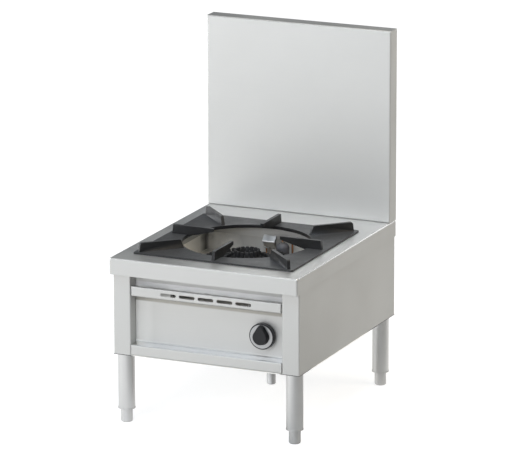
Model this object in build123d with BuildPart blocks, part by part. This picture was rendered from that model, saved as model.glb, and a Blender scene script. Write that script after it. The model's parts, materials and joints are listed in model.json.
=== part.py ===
from build123d import *
import os

os.makedirs("parts", exist_ok=True)

# Overall sizes in millimetres: the origin is on the floor under the middle, the front faces -Y
width = 600.0
depth = 745.0
worktop_height = 508.0
apron_height = 50.0
splash_height = 588.0
splash_depth = 48.5
splash_cover_set = 3.5

# Sheet metal
sheet = 1.5
bend = 4.5
corner_radius = 6.0

# Cabinet
front_overhang = 21.0
side_inset = 3.0
rear_inset = 3.0
base_height = 211.0
base_sheet = 2.0
post_width = 55.5
post_return = 50.0
rear_lip = 40.0
top_rail = 16.0
top_rail_height = 10.0
panel_recess = 35.0
panel_gap = 1.0
panel_flange = 14.0
rail_height = 34.0
ledge_rise = 4.0
front_return = 17.0

# Burner well in the worktop and the pan under it
well_front_margin = 93.5
well_width = 458.0
well_depth = 446.0
well_corner = 10.0
well_edge = 42.0
pan_gap = 8.0
pan_lip = 10.0
outlet_width = 236.0
outlet_depth = 250.0

# Legs and levelling feet
leg_radius = 25.0
leg_wall = 1.5
leg_side_set = 27.0
front_leg_set = 29.0
rear_leg_set = 44.0
leg_bottom = 45.0
collar_height = 3.0
collar_radius = 26.0
plug_height = 28.0
plug_clearance = 0.05
foot_radius = 17.5
foot_round = 5.0
stem_radius = 8.0
stem_length = 44.0
stem_clearance = 0.35
stud_radius = 5.0
stud_length = 20.0
stud_clearance = 0.3
leg_plate_x = 44.0
leg_plate_y = 48.0
leg_plate_thickness = 4.0
leg_nut_width = 17.0
leg_nut_height = 8.0

# Drip tray with its slotted front strip
strip_drop = 84.0
strip_height = 31.0
strip_gap = 3.5
strip_lip = 12.0
strip_foot = 22.0
slot_length = 50.0
slot_height = 10.0
slot_pitch = 60.0
slot_count = 5
slot_rise = 14.5
tray_width = 250.0
tray_length = 471.0
tray_wall = 18.5
tray_out = 1.5
tray_sink = 8.5
tray_lap = 10.5
tray_headroom = 1.5
tray_sheet = 1.2
tray_corner = 3.0
tray_play = 5.0
runner_lip = 14.0
runner_top_lip = 20.0
runner_stop = 15.0
opening_margin = 3.0

# Pot grate
grate_bearing_x = 26.0
grate_bearing_y = 27.0
grate_corner = 8.0
grate_plate = 5.0
grate_opening = 193.0
grate_rim = 10.0
grate_rim_drop = 5.0
fin_height = 27.0
fin_thickness = 10.0
fin_pairs = 4
middle_fin_set = 12.0
middle_fin_tip = 108.0
middle_fin_nose = 10.0
corner_fin_set = 18.5
corner_fin_lean = 17.0
fin_slope = 4.0
fin_round = 7.0
fin_edge = 1.5

# Burner on bars across the outlet of the pan
ring_outer = 138.0
ring_inner = 112.0
ring_lift = 3.0
ring_height = 13.0
ring_gap_angle = 32.0
ring_gap_centre = 91.0
ring_cap = 3.0
ring_tooth_height = 9.0
ring_tooth_count = 46
ring_tooth_length = 12.0
ring_tooth_width = 9.5
hub_radius = 78.0
hub_lift = 6.0
hub_height = 16.0
arm_width = 30.0
arm_count = 3
middle_outer = 76.0
middle_inner = 57.0
middle_base = 4.0
middle_tooth_height = 10.0
middle_tooth_count = 26
middle_tooth_length = 14.0
middle_tooth_width = 10.0
tooth_set = 1.5
crown_radius = 40.0
crown_wall = 9.0
crown_base = 18.0
crown_floor = 9.0
crown_tooth_height = 17.0
crown_tooth_count = 16
crown_tooth_length = 6.5
crown_tooth_width = 9.0
spigot_radius = 24.0
spigot_height = 5.0
spigot_clearance = 0.5
burner_foot_x = 100.0
burner_foot_y = 72.0
burner_foot_radius = 9.0
bar_width = 28.0
bar_height = 22.5
bar_thickness = 3.0
bar_length = 300.0
burner_bolt_radius = 3.0
burner_bolt_reach = 12.0
bolt_head_width = 10.0
bolt_head_height = 4.0

# Gas mixing tube and injector on the right of the burner
mixing_lift = 13.0
mixing_radius = 11.0
mixing_bore = 8.5
mixing_boss_radius = 13.0
mixing_boss_length = 14.0
mixing_mouth_radius = 14.0
mixing_flare = 14.0
shutter_radius = 13.5
shutter_length = 16.0
shutter_clearance = 0.1
shutter_set = 4.0
injector_gap = 5.0
injector_radius = 5.0
injector_jet_radius = 1.2
injector_length = 11.0
holder_radius = 13.0
holder_nose_radius = 7.0
holder_tail = 13.0
holder_port_radius = 10.0
holder_port_drop = 20.0
holder_nut_width = 22.0
holder_nut_height = 6.0
port_hole_clearance = 0.6

# Gas tap behind the panel, knob and inlet pipe
tap_side_set = 70.0
tap_rise = 102.0
tap_port_set = 32.0
tap_radius = 20.0
tap_front_set = 17.0
tap_length = 62.0
tap_collar_radius = 22.0
tap_collar = 6.0
tap_neck_radius = 11.0
tap_neck_out = 7.5
neck_clearance = 0.4
tap_nut_width = 30.0
tap_nut_height = 5.0
magnet_radius = 12.0
magnet_length = 14.0
inlet_boss_radius = 18.0
inlet_boss_drop = 33.0
outlet_boss_radius = 12.0
outlet_boss_rise = 32.0
pilot_boss_radius = 7.0
pilot_boss_reach = 27.0
port_depth = 9.0
guide_radius = 6.0
guide_length = 28.0
guide_out = 5.0
spindle_radius = 4.0
spindle_tail = 11.0
running_clearance = 0.05
bore_relief = 0.4
press_travel = 4.0
press_reserve = 1.5
knob_radius = 39.0
knob_gap = 6.0
knob_skirt = 14.0
knob_wall = 3.5
knob_hollow = 9.5
knob_boss_radius = 9.0
knob_edge = 1.5
grip_radius = 24.0
grip_neck_radius = 12.5
grip_neck_offset = 22.0
grip_height = 15.0
grip_taper = 8.0
grip_edge = 2.0
ring_plate = 1.0
ring_plate_inner = 25.1
ring_plate_outer = 35.4
ring_plate_clearance = 0.5
pipe_radius = 13.45
pipe_bore = 10.85
pipe_thread_radius = 13.22
pipe_thread_length = 20.0
pipe_below_base = 58.0
pipe_chamfer = 1.5
pipe_hole_clearance = 1.0
pipe_nut_width = 36.0
pipe_nut_height = 7.0
tube_clearance = 0.1

# Gas tubes
feed_radius = 6.0
feed_bend = 16.0
feed_lane_set = 13.0
pilot_tube_radius = 3.0
pilot_tube_bend = 8.0
pilot_lane_set = 14.5
pilot_lane_rise = 26.0
lead_radius = 2.2
lead_bend = 10.0
lead_lane_set = 14.5
lead_turn_set = 72.0

# Pilot burner set behind the burner, its places along Y counted from the burner's axis
pilot_x = 47.0
pilot_set = 154.0
pilot_radius = 20.0
pilot_height = 65.5
pilot_dome = 14.0
pilot_nut_width = 14.0
pilot_nut_height = 5.0
pilot_riser_x = 79.0
pilot_arch_rise = 8.5
pilot_run_rise = 15.0
bracket_left = -14.0
bracket_right = 23.0
bracket_foot_right = 70.0
bracket_front_set = 132.0
bracket_rear_set = 176.0
bracket_plate_set = 162.0
bracket_top_drop = 20.0
hood_left = -13.0
hood_right = 27.0
hood_nose_set = 140.0
hood_nose_drop = 30.0
hood_top_drop = 8.0
hood_lip = 15.0
hood_heel_set = 145.0
hood_heel_drop = 47.0
hood_taper = 6.0
probe_x = -4.0
probe_set = 151.0
probe_top_drop = 38.0
probe_tab_drop = 51.0
probe_tab_left = -12.0
probe_tab_right = 6.0
probe_clearance = 0.2
lead_back_set = 186.0
lead_run_rise = 10.0

# Fasteners
screw_radius = 2.0
screw_head_radius = 4.0
screw_head_height = 2.0
screw_length = 8.0
screw_edge = 0.6
screw_clearance = 0.2
screw_lip_set = 8.0
back_screw_set = 22.0
back_screw_rise = 52.5
back_screw_rows = 2
back_screw_pitch = 105.0
splash_bolt_radius = 3.0
splash_bolt_pitch = 150.0
splash_bolt_count = 4
splash_bolt_length = 16.0
rivet_radius = 2.0
rivet_head_radius = 3.5
rivet_head_height = 1.0
rivet_pitch = 70.0
rivet_count = 3

# Levels and faces worked out from the sizes above
worktop_under = worktop_height - sheet
side_top = worktop_under - bend
apron_bottom = worktop_height - apron_height
body_half = width / 2 - side_inset
body_front = -depth / 2 + front_overhang
body_rear = depth / 2 - rear_inset
body_inner = body_half - sheet
base_top = base_height + base_sheet
post_inner = body_half - post_width
panel_front = body_front + panel_recess
panel_back = panel_front + sheet
panel_half = post_inner - panel_gap
strip_half = post_inner - strip_gap
splash_rear = depth / 2 - splash_cover_set
splash_front = splash_rear - splash_depth
cover_rear = splash_rear + sheet
splash_top = worktop_height + splash_height
burner_y = -depth / 2 + well_front_margin + well_depth / 2
pan_inner_x = well_width / 2 + sheet + pan_gap
pan_inner_y = well_depth / 2 + sheet + pan_gap
pan_outer_x = pan_inner_x + sheet
strip_top = worktop_height - strip_drop
strip_bottom = strip_top - strip_height
tray_flange_under = strip_bottom + sheet
tray_bottom = tray_flange_under - tray_sink
tray_flange_front = body_front + strip_foot - tray_lap
tray_front = panel_front - tray_out
tray_rear = tray_front + tray_length
pan_floor_under = tray_bottom + tray_wall + tray_headroom
pan_floor_top = pan_floor_under + sheet
tray_half = tray_width / 2
runner_inner = tray_half + tray_play
grate_width = well_width + 2 * grate_bearing_x
grate_depth = well_depth + 2 * grate_bearing_y
grate_reach = min(grate_width, grate_depth) / 2
middle_fin_outer = grate_reach - middle_fin_set
corner_fin_outer = Vector(grate_reach, grate_reach).length - corner_fin_set
corner_fin_inner = grate_opening + corner_fin_lean
corner_fin_toe = grate_opening + grate_rim / 2
bar_top = pan_floor_top + bar_height
bar_under = bar_top - bar_thickness
ring_bottom = bar_top + ring_lift
ring_top = ring_bottom + ring_height
hub_bottom = bar_top + hub_lift
hub_top = hub_bottom + hub_height
mixing_z = bar_top + mixing_lift
mixing_boss_end = ring_outer + mixing_boss_length
shutter_end = mixing_boss_end + shutter_set + shutter_length
mixing_mouth_x = shutter_end + shutter_set + mixing_flare
injector_tip_x = mixing_mouth_x + injector_gap
injector_end_x = injector_tip_x + injector_length
feed_lane_x = pan_outer_x + feed_lane_set
holder_end_x = feed_lane_x + holder_tail
tap_x = panel_half - tap_side_set
tap_z = base_height + tap_rise
tap_front = panel_back + tap_front_set
tap_rear = tap_front + tap_length
tap_y = tap_front + tap_port_set
neck_front = panel_front - tap_neck_out
guide_front = neck_front - guide_out
spindle_back = guide_front + guide_length + spindle_tail
knob_back = panel_front - knob_gap
knob_face = knob_back - knob_skirt
leg_x = body_half - leg_side_set
leg_plug_bottom = leg_bottom - collar_height
leg_points = {
    "front_left": (-leg_x, body_front + front_leg_set),
    "front_right": (leg_x, body_front + front_leg_set),
    "rear_left": (-leg_x, body_rear - rear_leg_set),
    "rear_right": (leg_x, body_rear - rear_leg_set),
}
pipe_bottom = base_height - pipe_below_base
pipe_top = tap_z - inlet_boss_drop + port_depth
feed_start = tap_z + outlet_boss_rise - port_depth
feed_end = mixing_z - holder_port_drop + port_depth
feed_level = (feed_start + feed_end) / 2
bracket_foot_top = pan_floor_top + sheet
pilot_top = bracket_foot_top + pilot_height
pilot_y = burner_y + pilot_set
pilot_run = pan_floor_top + pilot_run_rise
pilot_arch = pilot_top + pilot_nut_height + pilot_arch_rise
pilot_lane = tap_z + pilot_lane_rise
pilot_lane_x = pan_outer_x + pilot_lane_set
lead_back_y = burner_y + lead_back_set
lead_run = pan_floor_top + lead_run_rise
lead_lane_x = pan_outer_x + lead_lane_set
lead_turn_y = tap_rear + magnet_length + lead_turn_set
bracket_foot_front = burner_y + bracket_front_set
bracket_foot_rear = burner_y + bracket_rear_set
bracket_plate_y = burner_y + bracket_plate_set
hood_nose_y = burner_y + hood_nose_set
hood_heel_y = burner_y + hood_heel_set
probe_y = burner_y + probe_set


def level(height):
    """Horizontal plane at a height above the floor."""
    return Plane.XY.offset(height)


def upright(y):
    """Upright plane that faces the front at a distance along Y, drawn in X and Z."""
    return Plane.XZ.offset(-y)


def crosswise(x):
    """Upright plane that faces the right at a distance along X, drawn in Y and Z."""
    return Plane.YZ.offset(x)


def radial(angle):
    """Upright plane through the burner axis, drawn outward along the angle and up."""
    return Plane(
        origin=(0, burner_y, 0),
        x_dir=Vector(1, 0, 0).rotate(Axis.Z, angle),
        z_dir=Vector(0, -1, 0).rotate(Axis.Z, angle),
    )


def folded_sheet(plane, points, length, thickness, side):
    """Sheet folded along points in a plane, pushed out by length, its thickness on one side."""
    with BuildPart() as piece:
        with BuildSketch(plane):
            with BuildLine():
                FilletPolyline(*points, radius=bend)
                offset(amount=thickness, side=side)
            make_face()
        extrude(amount=length)
    return piece.part


def bent_tube(points, radius, bend_radius):
    """Round tube along straight runs joined by tangent bends."""
    with BuildPart() as piece:
        with BuildLine() as route:
            FilletPolyline(*points, radius=bend_radius)
        with BuildSketch(Plane(origin=route.line @ 0, z_dir=route.line % 0)):
            Circle(radius)
        sweep()
    return piece.part


def hex_nut(plane, place, across_flats, height, bore):
    """Hexagonal nut on a plane with a plain bore."""
    with BuildPart() as piece:
        with BuildSketch(plane):
            with Locations(place):
                RegularPolygon(across_flats / 2, 6, major_radius=False)
                Circle(bore, mode=Mode.SUBTRACT)
        extrude(amount=height)
    return piece.part


# Worktop: one sheet with turned-down aprons and a well with a turned-down edge
splash_bolt_y = splash_front + splash_depth / 2
with BuildPart() as worktop:
    with BuildSketch(level(apron_bottom)):
        RectangleRounded(width, depth, corner_radius)
    extrude(amount=apron_height)
    fillet(worktop.faces().sort_by(Axis.Z)[-1].edges(), bend)
    offset(amount=-sheet, openings=worktop.faces().sort_by(Axis.Z)[0])
    with BuildSketch(level(worktop_height - well_edge)):
        with Locations((0, burner_y)):
            RectangleRounded(well_width + 2 * sheet, well_depth + 2 * sheet, well_corner + sheet)
    extrude(amount=well_edge - sheet)
    with BuildSketch(level(worktop_height - well_edge)):
        with Locations((0, burner_y)):
            RectangleRounded(well_width, well_depth, well_corner)
    extrude(amount=well_edge, mode=Mode.SUBTRACT)
    under_face = worktop.faces().filter_by(Axis.Z).filter_by_position(
        Axis.Z, worktop_under - sheet / 4, worktop_under + sheet / 4
    )[0]
    fillet(under_face.inner_wires()[0].edges(), bend - sheet)
    top_face = worktop.faces().filter_by(Axis.Z).sort_by(Axis.Z)[-1]
    fillet(top_face.inner_wires()[0].edges(), bend)
    with BuildSketch(level(apron_bottom)):
        with Locations((0, -depth / 2 + sheet)):
            Rectangle(width - 2 * corner_radius, front_return, align=(Align.CENTER, Align.MIN))
    extrude(amount=sheet)
    with BuildSketch(level(worktop_height)):
        with Locations((0, splash_bolt_y)):
            with GridLocations(splash_bolt_pitch, 0, splash_bolt_count, 1):
                Circle(splash_bolt_radius + screw_clearance)
    extrude(amount=-2 * sheet, mode=Mode.SUBTRACT)
worktop.part.label = "worktop"
export_step(worktop.part, "parts/worktop.step")

# Backsplash: a pan folded back on all four edges with a lip around its open rear
lip_height = splash_height - 2 * screw_lip_set
lip_width = width - 2 * screw_lip_set
cover_points = [
    (x * lip_width / 2, worktop_height + splash_height / 2 + z * lip_height / 2)
    for x in (-1, 1)
    for z in (-1, 0, 1)
] + [(0, worktop_height + screw_lip_set), (0, splash_top - screw_lip_set)]
with BuildPart() as backsplash:
    with BuildSketch(level(worktop_height)):
        with Locations((0, splash_front)):
            Rectangle(width, splash_depth, align=(Align.CENTER, Align.MIN))
    extrude(amount=splash_height)
    fillet(backsplash.faces().sort_by(Axis.Y)[0].edges(), bend)
    offset(amount=-sheet, openings=backsplash.faces().sort_by(Axis.Y)[-1])
    with BuildSketch(upright(splash_rear)):
        with Locations((0, worktop_height + splash_height / 2)):
            Rectangle(width - sheet, splash_height - sheet)
            Rectangle(width - 4 * screw_lip_set, splash_height - 4 * screw_lip_set, mode=Mode.SUBTRACT)
        with Locations(*cover_points):
            Circle(screw_radius + screw_clearance, mode=Mode.SUBTRACT)
    extrude(amount=sheet)
    with BuildSketch(level(worktop_height)):
        with Locations((0, splash_bolt_y)):
            with GridLocations(splash_bolt_pitch, 0, splash_bolt_count, 1):
                Circle(splash_bolt_radius + screw_clearance)
    extrude(amount=2 * sheet, mode=Mode.SUBTRACT)
backsplash.part.label = "backsplash"
export_step(backsplash.part, "parts/backsplash.step")

# Rear cover of the backsplash
with BuildPart() as backsplash_cover:
    with BuildSketch(upright(cover_rear)):
        with Locations((0, worktop_height + splash_height / 2)):
            Rectangle(width - sheet, splash_height - sheet)
        with Locations(*cover_points):
            Circle(screw_radius + screw_clearance, mode=Mode.SUBTRACT)
    extrude(amount=sheet)
backsplash_cover.part.label = "backsplash_cover"
export_step(backsplash_cover.part, "parts/backsplash_cover.step")

# Screws of the rear cover
with BuildPart() as cover_screws:
    with BuildSketch(upright(cover_rear)):
        with Locations(*cover_points):
            Circle(screw_radius)
    extrude(amount=screw_length)
    with BuildSketch(upright(cover_rear)):
        with Locations(*cover_points):
            Circle(screw_head_radius)
    extrude(amount=-screw_head_height)
    fillet(cover_screws.faces().filter_by(Axis.Y).group_by(Axis.Y)[-1].edges(), screw_edge)
cover_screws.part.label = "cover_screws"
export_step(cover_screws.part, "parts/cover_screws.step")

# Bolts that hold the backsplash down on the worktop
with BuildPart() as splash_bolts:
    with BuildSketch(level(worktop_under)):
        with Locations((0, splash_bolt_y)):
            with GridLocations(splash_bolt_pitch, 0, splash_bolt_count, 1):
                Circle(splash_bolt_radius)
    extrude(amount=splash_bolt_length)
    with BuildSketch(level(worktop_under)):
        with Locations((0, splash_bolt_y)):
            with GridLocations(splash_bolt_pitch, 0, splash_bolt_count, 1):
                RegularPolygon(bolt_head_width / 2, 6, major_radius=False)
    extrude(amount=-bolt_head_height)
    with BuildSketch(level(worktop_height + sheet)):
        with Locations((0, splash_bolt_y)):
            with GridLocations(splash_bolt_pitch, 0, splash_bolt_count, 1):
                RegularPolygon(bolt_head_width / 2, 6, major_radius=False)
    extrude(amount=bolt_head_height)
splash_bolts.part.label = "splash_bolts"
export_step(splash_bolts.part, "parts/splash_bolts.step")

# Right side panel: rear lip, side, front post and its return in one folded sheet, with a top rail
side_points = [
    (body_half - rear_lip, body_rear),
    (body_half, body_rear),
    (body_half, body_front),
    (post_inner, body_front),
    (post_inner, body_front + post_return),
]
back_screw_points = [
    (x * (body_half - back_screw_set), base_top + back_screw_rise + row * back_screw_pitch)
    for x in (-1, 1)
    for row in range(back_screw_rows)
]
with BuildPart() as right_side_panel:
    add(folded_sheet(level(base_top), side_points, side_top - base_top, sheet, Side.RIGHT))
    with BuildSketch(level(worktop_under)):
        with Locations((body_inner, body_front + post_return)):
            Rectangle(top_rail, body_rear - rear_lip - body_front - post_return, align=(Align.MAX, Align.MIN))
    extrude(amount=-top_rail_height)
    with BuildSketch(upright(body_rear)):
        with Locations(*[point for point in back_screw_points if point[0] > 0]):
            Circle(screw_radius + screw_clearance)
    extrude(amount=2 * sheet, mode=Mode.SUBTRACT)
right_side_panel.part.label = "right_side_panel"
export_step(right_side_panel.part, "parts/right_side_panel.step")

# Left side panel
with BuildPart() as left_side_panel:
    mirror(right_side_panel.part, about=Plane.YZ)
left_side_panel.part.label = "left_side_panel"
export_step(left_side_panel.part, "parts/left_side_panel.step")

# Back panel inside the rear lips
with BuildPart() as back_panel:
    with BuildSketch(upright(body_rear - sheet)):
        with Locations((0, base_top)):
            Rectangle(
                2 * (body_inner - bend),
                side_top - base_top,
                align=(Align.CENTER, Align.MIN),
            )
        with Locations(*back_screw_points):
            Circle(screw_radius + screw_clearance, mode=Mode.SUBTRACT)
    extrude(amount=sheet)
back_panel.part.label = "back_panel"
export_step(back_panel.part, "parts/back_panel.step")

# Screws of the back panel
with BuildPart() as back_panel_screws:
    with BuildSketch(upright(body_rear)):
        with Locations(*back_screw_points):
            Circle(screw_radius)
    extrude(amount=screw_length)
    with BuildSketch(upright(body_rear)):
        with Locations(*back_screw_points):
            Circle(screw_head_radius)
    extrude(amount=-screw_head_height)
    fillet(back_panel_screws.faces().filter_by(Axis.Y).group_by(Axis.Y)[-1].edges(), screw_edge)
back_panel_screws.part.label = "back_panel_screws"
export_step(back_panel_screws.part, "parts/back_panel_screws.step")

# Recessed control panel with the ledge and bottom rail folded from the same sheet
control_points = [
    (panel_front + panel_flange, worktop_under),
    (panel_front, worktop_under),
    (panel_front, base_height + rail_height + ledge_rise),
    (body_front, base_height + rail_height),
    (body_front, base_top),
    (body_front + panel_flange, base_top),
]
with BuildPart() as control_panel:
    add(folded_sheet(crosswise(-panel_half), control_points, 2 * panel_half, sheet, Side.LEFT))
    with BuildSketch(upright(panel_front - sheet)):
        with Locations((0, tray_bottom - opening_margin)):
            Rectangle(
                tray_width + 2 * opening_margin,
                tray_wall + 2 * opening_margin,
                align=(Align.CENTER, Align.MIN),
            )
        with Locations((tap_x, tap_z)):
            Circle(tap_neck_radius + neck_clearance)
    extrude(amount=-3 * sheet, mode=Mode.SUBTRACT)
control_panel.part.label = "control_panel"
export_step(control_panel.part, "parts/control_panel.step")

# Base panel that the sides stand on
with BuildPart() as base_panel:
    with BuildSketch(level(base_height)):
        with Locations((0, body_front)):
            Rectangle(2 * body_half, body_rear - body_front, align=(Align.CENTER, Align.MIN))
        with Locations(*leg_points.values()):
            Circle(stud_radius + stud_clearance, mode=Mode.SUBTRACT)
        with Locations((tap_x, tap_y)):
            Circle(pipe_radius + pipe_hole_clearance, mode=Mode.SUBTRACT)
    extrude(amount=base_sheet)
base_panel.part.label = "base_panel"
export_step(base_panel.part, "parts/base_panel.step")

# Legs: tube with a closed top and a stud, plus a screw-in foot under each
for place, (leg_at_x, leg_at_y) in leg_points.items():
    with BuildPart() as leg:
        with BuildSketch(level(leg_bottom)):
            with Locations((leg_at_x, leg_at_y)):
                Circle(leg_radius)
        extrude(amount=base_height - leg_bottom)
        with BuildSketch(level(leg_bottom)):
            with Locations((leg_at_x, leg_at_y)):
                Circle(leg_radius - leg_wall)
        extrude(amount=base_height - leg_bottom - base_sheet, mode=Mode.SUBTRACT)
        with BuildSketch(level(base_height)):
            with Locations((leg_at_x, leg_at_y)):
                Circle(stud_radius)
        extrude(amount=stud_length)
    leg.part.label = f"leg_{place}"
    export_step(leg.part, f"parts/leg_{place}.step")
    with BuildPart() as foot:
        with BuildSketch(level(0)):
            with Locations((leg_at_x, leg_at_y)):
                Circle(foot_radius)
        extrude(amount=leg_plug_bottom)
        fillet(foot.faces().sort_by(Axis.Z)[0].edges(), foot_round)
        with BuildSketch(level(leg_plug_bottom)):
            with Locations((leg_at_x, leg_at_y)):
                Circle(stem_radius)
        extrude(amount=stem_length)
    foot.part.label = f"foot_{place}"
    export_step(foot.part, f"parts/foot_{place}.step")

# Plugs with a collar that close the legs and take the feet's stems
with BuildPart() as leg_plugs:
    with BuildSketch(level(leg_plug_bottom)):
        with Locations(*leg_points.values()):
            Circle(collar_radius)
    extrude(amount=collar_height)
    with BuildSketch(level(leg_bottom)):
        with Locations(*leg_points.values()):
            Circle(leg_radius - leg_wall - plug_clearance)
    extrude(amount=plug_height)
    with BuildSketch(level(leg_plug_bottom)):
        with Locations(*leg_points.values()):
            Circle(stem_radius + stem_clearance)
    extrude(amount=plug_height + collar_height, mode=Mode.SUBTRACT)
leg_plugs.part.label = "leg_plugs"
export_step(leg_plugs.part, "parts/leg_plugs.step")

# Plates that spread the load of the legs inside the base
with BuildPart() as leg_plates:
    with BuildSketch(level(base_top)):
        with Locations(*leg_points.values()):
            Rectangle(leg_plate_x, leg_plate_y)
            Circle(stud_radius + stud_clearance, mode=Mode.SUBTRACT)
    extrude(amount=leg_plate_thickness)
leg_plates.part.label = "leg_plates"
export_step(leg_plates.part, "parts/leg_plates.step")

# Nuts on the studs of the legs
with BuildPart() as leg_nuts:
    with BuildSketch(level(base_top + leg_plate_thickness)):
        with Locations(*leg_points.values()):
            RegularPolygon(leg_nut_width / 2, 6, major_radius=False)
            Circle(stud_radius + plug_clearance, mode=Mode.SUBTRACT)
    extrude(amount=leg_nut_height)
leg_nuts.part.label = "leg_nuts"
export_step(leg_nuts.part, "parts/leg_nuts.step")

# Burner pan: walls behind the well's edge and a floor with an outlet over the tray
pan_holes = [
    (burner_y, mixing_z, holder_nose_radius),
    (pilot_y, pilot_run, pilot_tube_radius),
    (lead_back_y, lead_run, lead_radius),
]
with BuildPart() as burner_pan:
    with BuildSketch(level(pan_floor_under)):
        with Locations((0, burner_y)):
            RectangleRounded(2 * pan_outer_x, 2 * (pan_inner_y + sheet), bend)
    extrude(amount=worktop_under - pan_floor_under)
    offset(amount=-sheet, openings=burner_pan.faces().sort_by(Axis.Z)[-1])
    with BuildSketch(level(worktop_under)):
        with Locations((0, burner_y)):
            Rectangle(2 * (pan_outer_x + pan_lip), 2 * (pan_inner_y + sheet + pan_lip))
            Rectangle(2 * pan_inner_x, 2 * pan_inner_y, mode=Mode.SUBTRACT)
    extrude(amount=-sheet)
    with BuildSketch(level(pan_floor_top)):
        with Locations((0, burner_y)):
            Rectangle(outlet_width, outlet_depth)
    extrude(amount=-sheet, mode=Mode.SUBTRACT)
    for hole_y, hole_z, hole_radius in pan_holes:
        with BuildSketch(crosswise(pan_inner_x)):
            with Locations((hole_y, hole_z)):
                Circle(hole_radius + port_hole_clearance)
        extrude(amount=sheet, mode=Mode.SUBTRACT)
burner_pan.part.label = "burner_pan"
export_step(burner_pan.part, "parts/burner_pan.step")

# Tray runners hung under the pan on both sides, each with a stop at its rear end
runner_points = [
    (runner_inner + runner_top_lip, pan_floor_under),
    (runner_inner, pan_floor_under),
    (runner_inner, tray_bottom),
    (runner_inner - runner_lip, tray_bottom),
]
runner_length = tray_rear + sheet - panel_back
with BuildPart() as right_runner:
    add(folded_sheet(upright(tray_rear + sheet), runner_points, runner_length, sheet, Side.LEFT))
    with BuildSketch(upright(tray_rear + sheet)):
        with Locations((runner_inner, tray_bottom)):
            Rectangle(runner_lip, runner_stop, align=(Align.MAX, Align.MIN))
    extrude(amount=sheet)
right_runner.part.label = "right_runner"
export_step(right_runner.part, "parts/right_runner.step")

with BuildPart() as left_runner:
    mirror(right_runner.part, about=Plane.YZ)
left_runner.part.label = "left_runner"
export_step(left_runner.part, "parts/left_runner.step")

# Drip tray: a shallow pan whose low front wall turns forward onto the foot of the slotted strip
rivet_y = tray_flange_front + tray_lap / 2
with BuildPart() as drip_tray:
    with BuildSketch(level(tray_bottom)):
        with Locations((0, tray_front + tray_length / 2)):
            RectangleRounded(tray_width, tray_length, tray_corner)
    extrude(amount=tray_wall)
    offset(amount=-tray_sheet, openings=drip_tray.faces().sort_by(Axis.Z)[-1])
    with BuildSketch(level(tray_flange_under)):
        with Locations((0, tray_front)):
            Rectangle(tray_width - 2 * tray_corner, tray_corner, align=(Align.CENTER, Align.MIN))
    extrude(amount=tray_wall, mode=Mode.SUBTRACT)
    with BuildSketch(level(tray_flange_under)):
        with Locations((0, tray_flange_front)):
            Rectangle(
                tray_width - 2 * tray_corner,
                tray_front + tray_sheet - tray_flange_front,
                align=(Align.CENTER, Align.MIN),
            )
    extrude(amount=tray_sheet)
    with BuildSketch(level(tray_flange_under)):
        with Locations((0, rivet_y)):
            with GridLocations(rivet_pitch, 0, rivet_count, 1):
                Circle(rivet_radius + screw_clearance)
    extrude(amount=tray_sheet, mode=Mode.SUBTRACT)
drip_tray.part.label = "drip_tray"
export_step(drip_tray.part, "parts/drip_tray.step")

# Slotted front strip of the tray
strip_points = [
    (body_front + strip_lip, strip_top),
    (body_front, strip_top),
    (body_front, strip_bottom),
    (body_front + strip_foot, strip_bottom),
]
with BuildPart() as tray_strip:
    add(folded_sheet(crosswise(-strip_half), strip_points, 2 * strip_half, sheet, Side.LEFT))
    with BuildSketch(upright(body_front)):
        with Locations((0, strip_bottom + slot_rise)):
            with GridLocations(slot_pitch, 0, slot_count, 1):
                SlotOverall(slot_length, slot_height)
    extrude(amount=-sheet, mode=Mode.SUBTRACT)
    with BuildSketch(level(strip_bottom)):
        with Locations((0, rivet_y)):
            with GridLocations(rivet_pitch, 0, rivet_count, 1):
                Circle(rivet_radius + screw_clearance)
    extrude(amount=sheet, mode=Mode.SUBTRACT)
tray_strip.part.label = "tray_strip"
export_step(tray_strip.part, "parts/tray_strip.step")

# Rivets that join the strip and the tray
with BuildPart() as tray_rivets:
    with BuildSketch(level(strip_bottom)):
        with Locations((0, rivet_y)):
            with GridLocations(rivet_pitch, 0, rivet_count, 1):
                Circle(rivet_radius)
    extrude(amount=sheet + tray_sheet)
    with BuildSketch(level(strip_bottom)):
        with Locations((0, rivet_y)):
            with GridLocations(rivet_pitch, 0, rivet_count, 1):
                Circle(rivet_head_radius)
    extrude(amount=-rivet_head_height)
    with BuildSketch(level(tray_flange_under + tray_sheet)):
        with Locations((0, rivet_y)):
            with GridLocations(rivet_pitch, 0, rivet_count, 1):
                Circle(rivet_head_radius)
    extrude(amount=rivet_head_height)
tray_rivets.part.label = "tray_rivets"
export_step(tray_rivets.part, "parts/tray_rivets.step")

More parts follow.
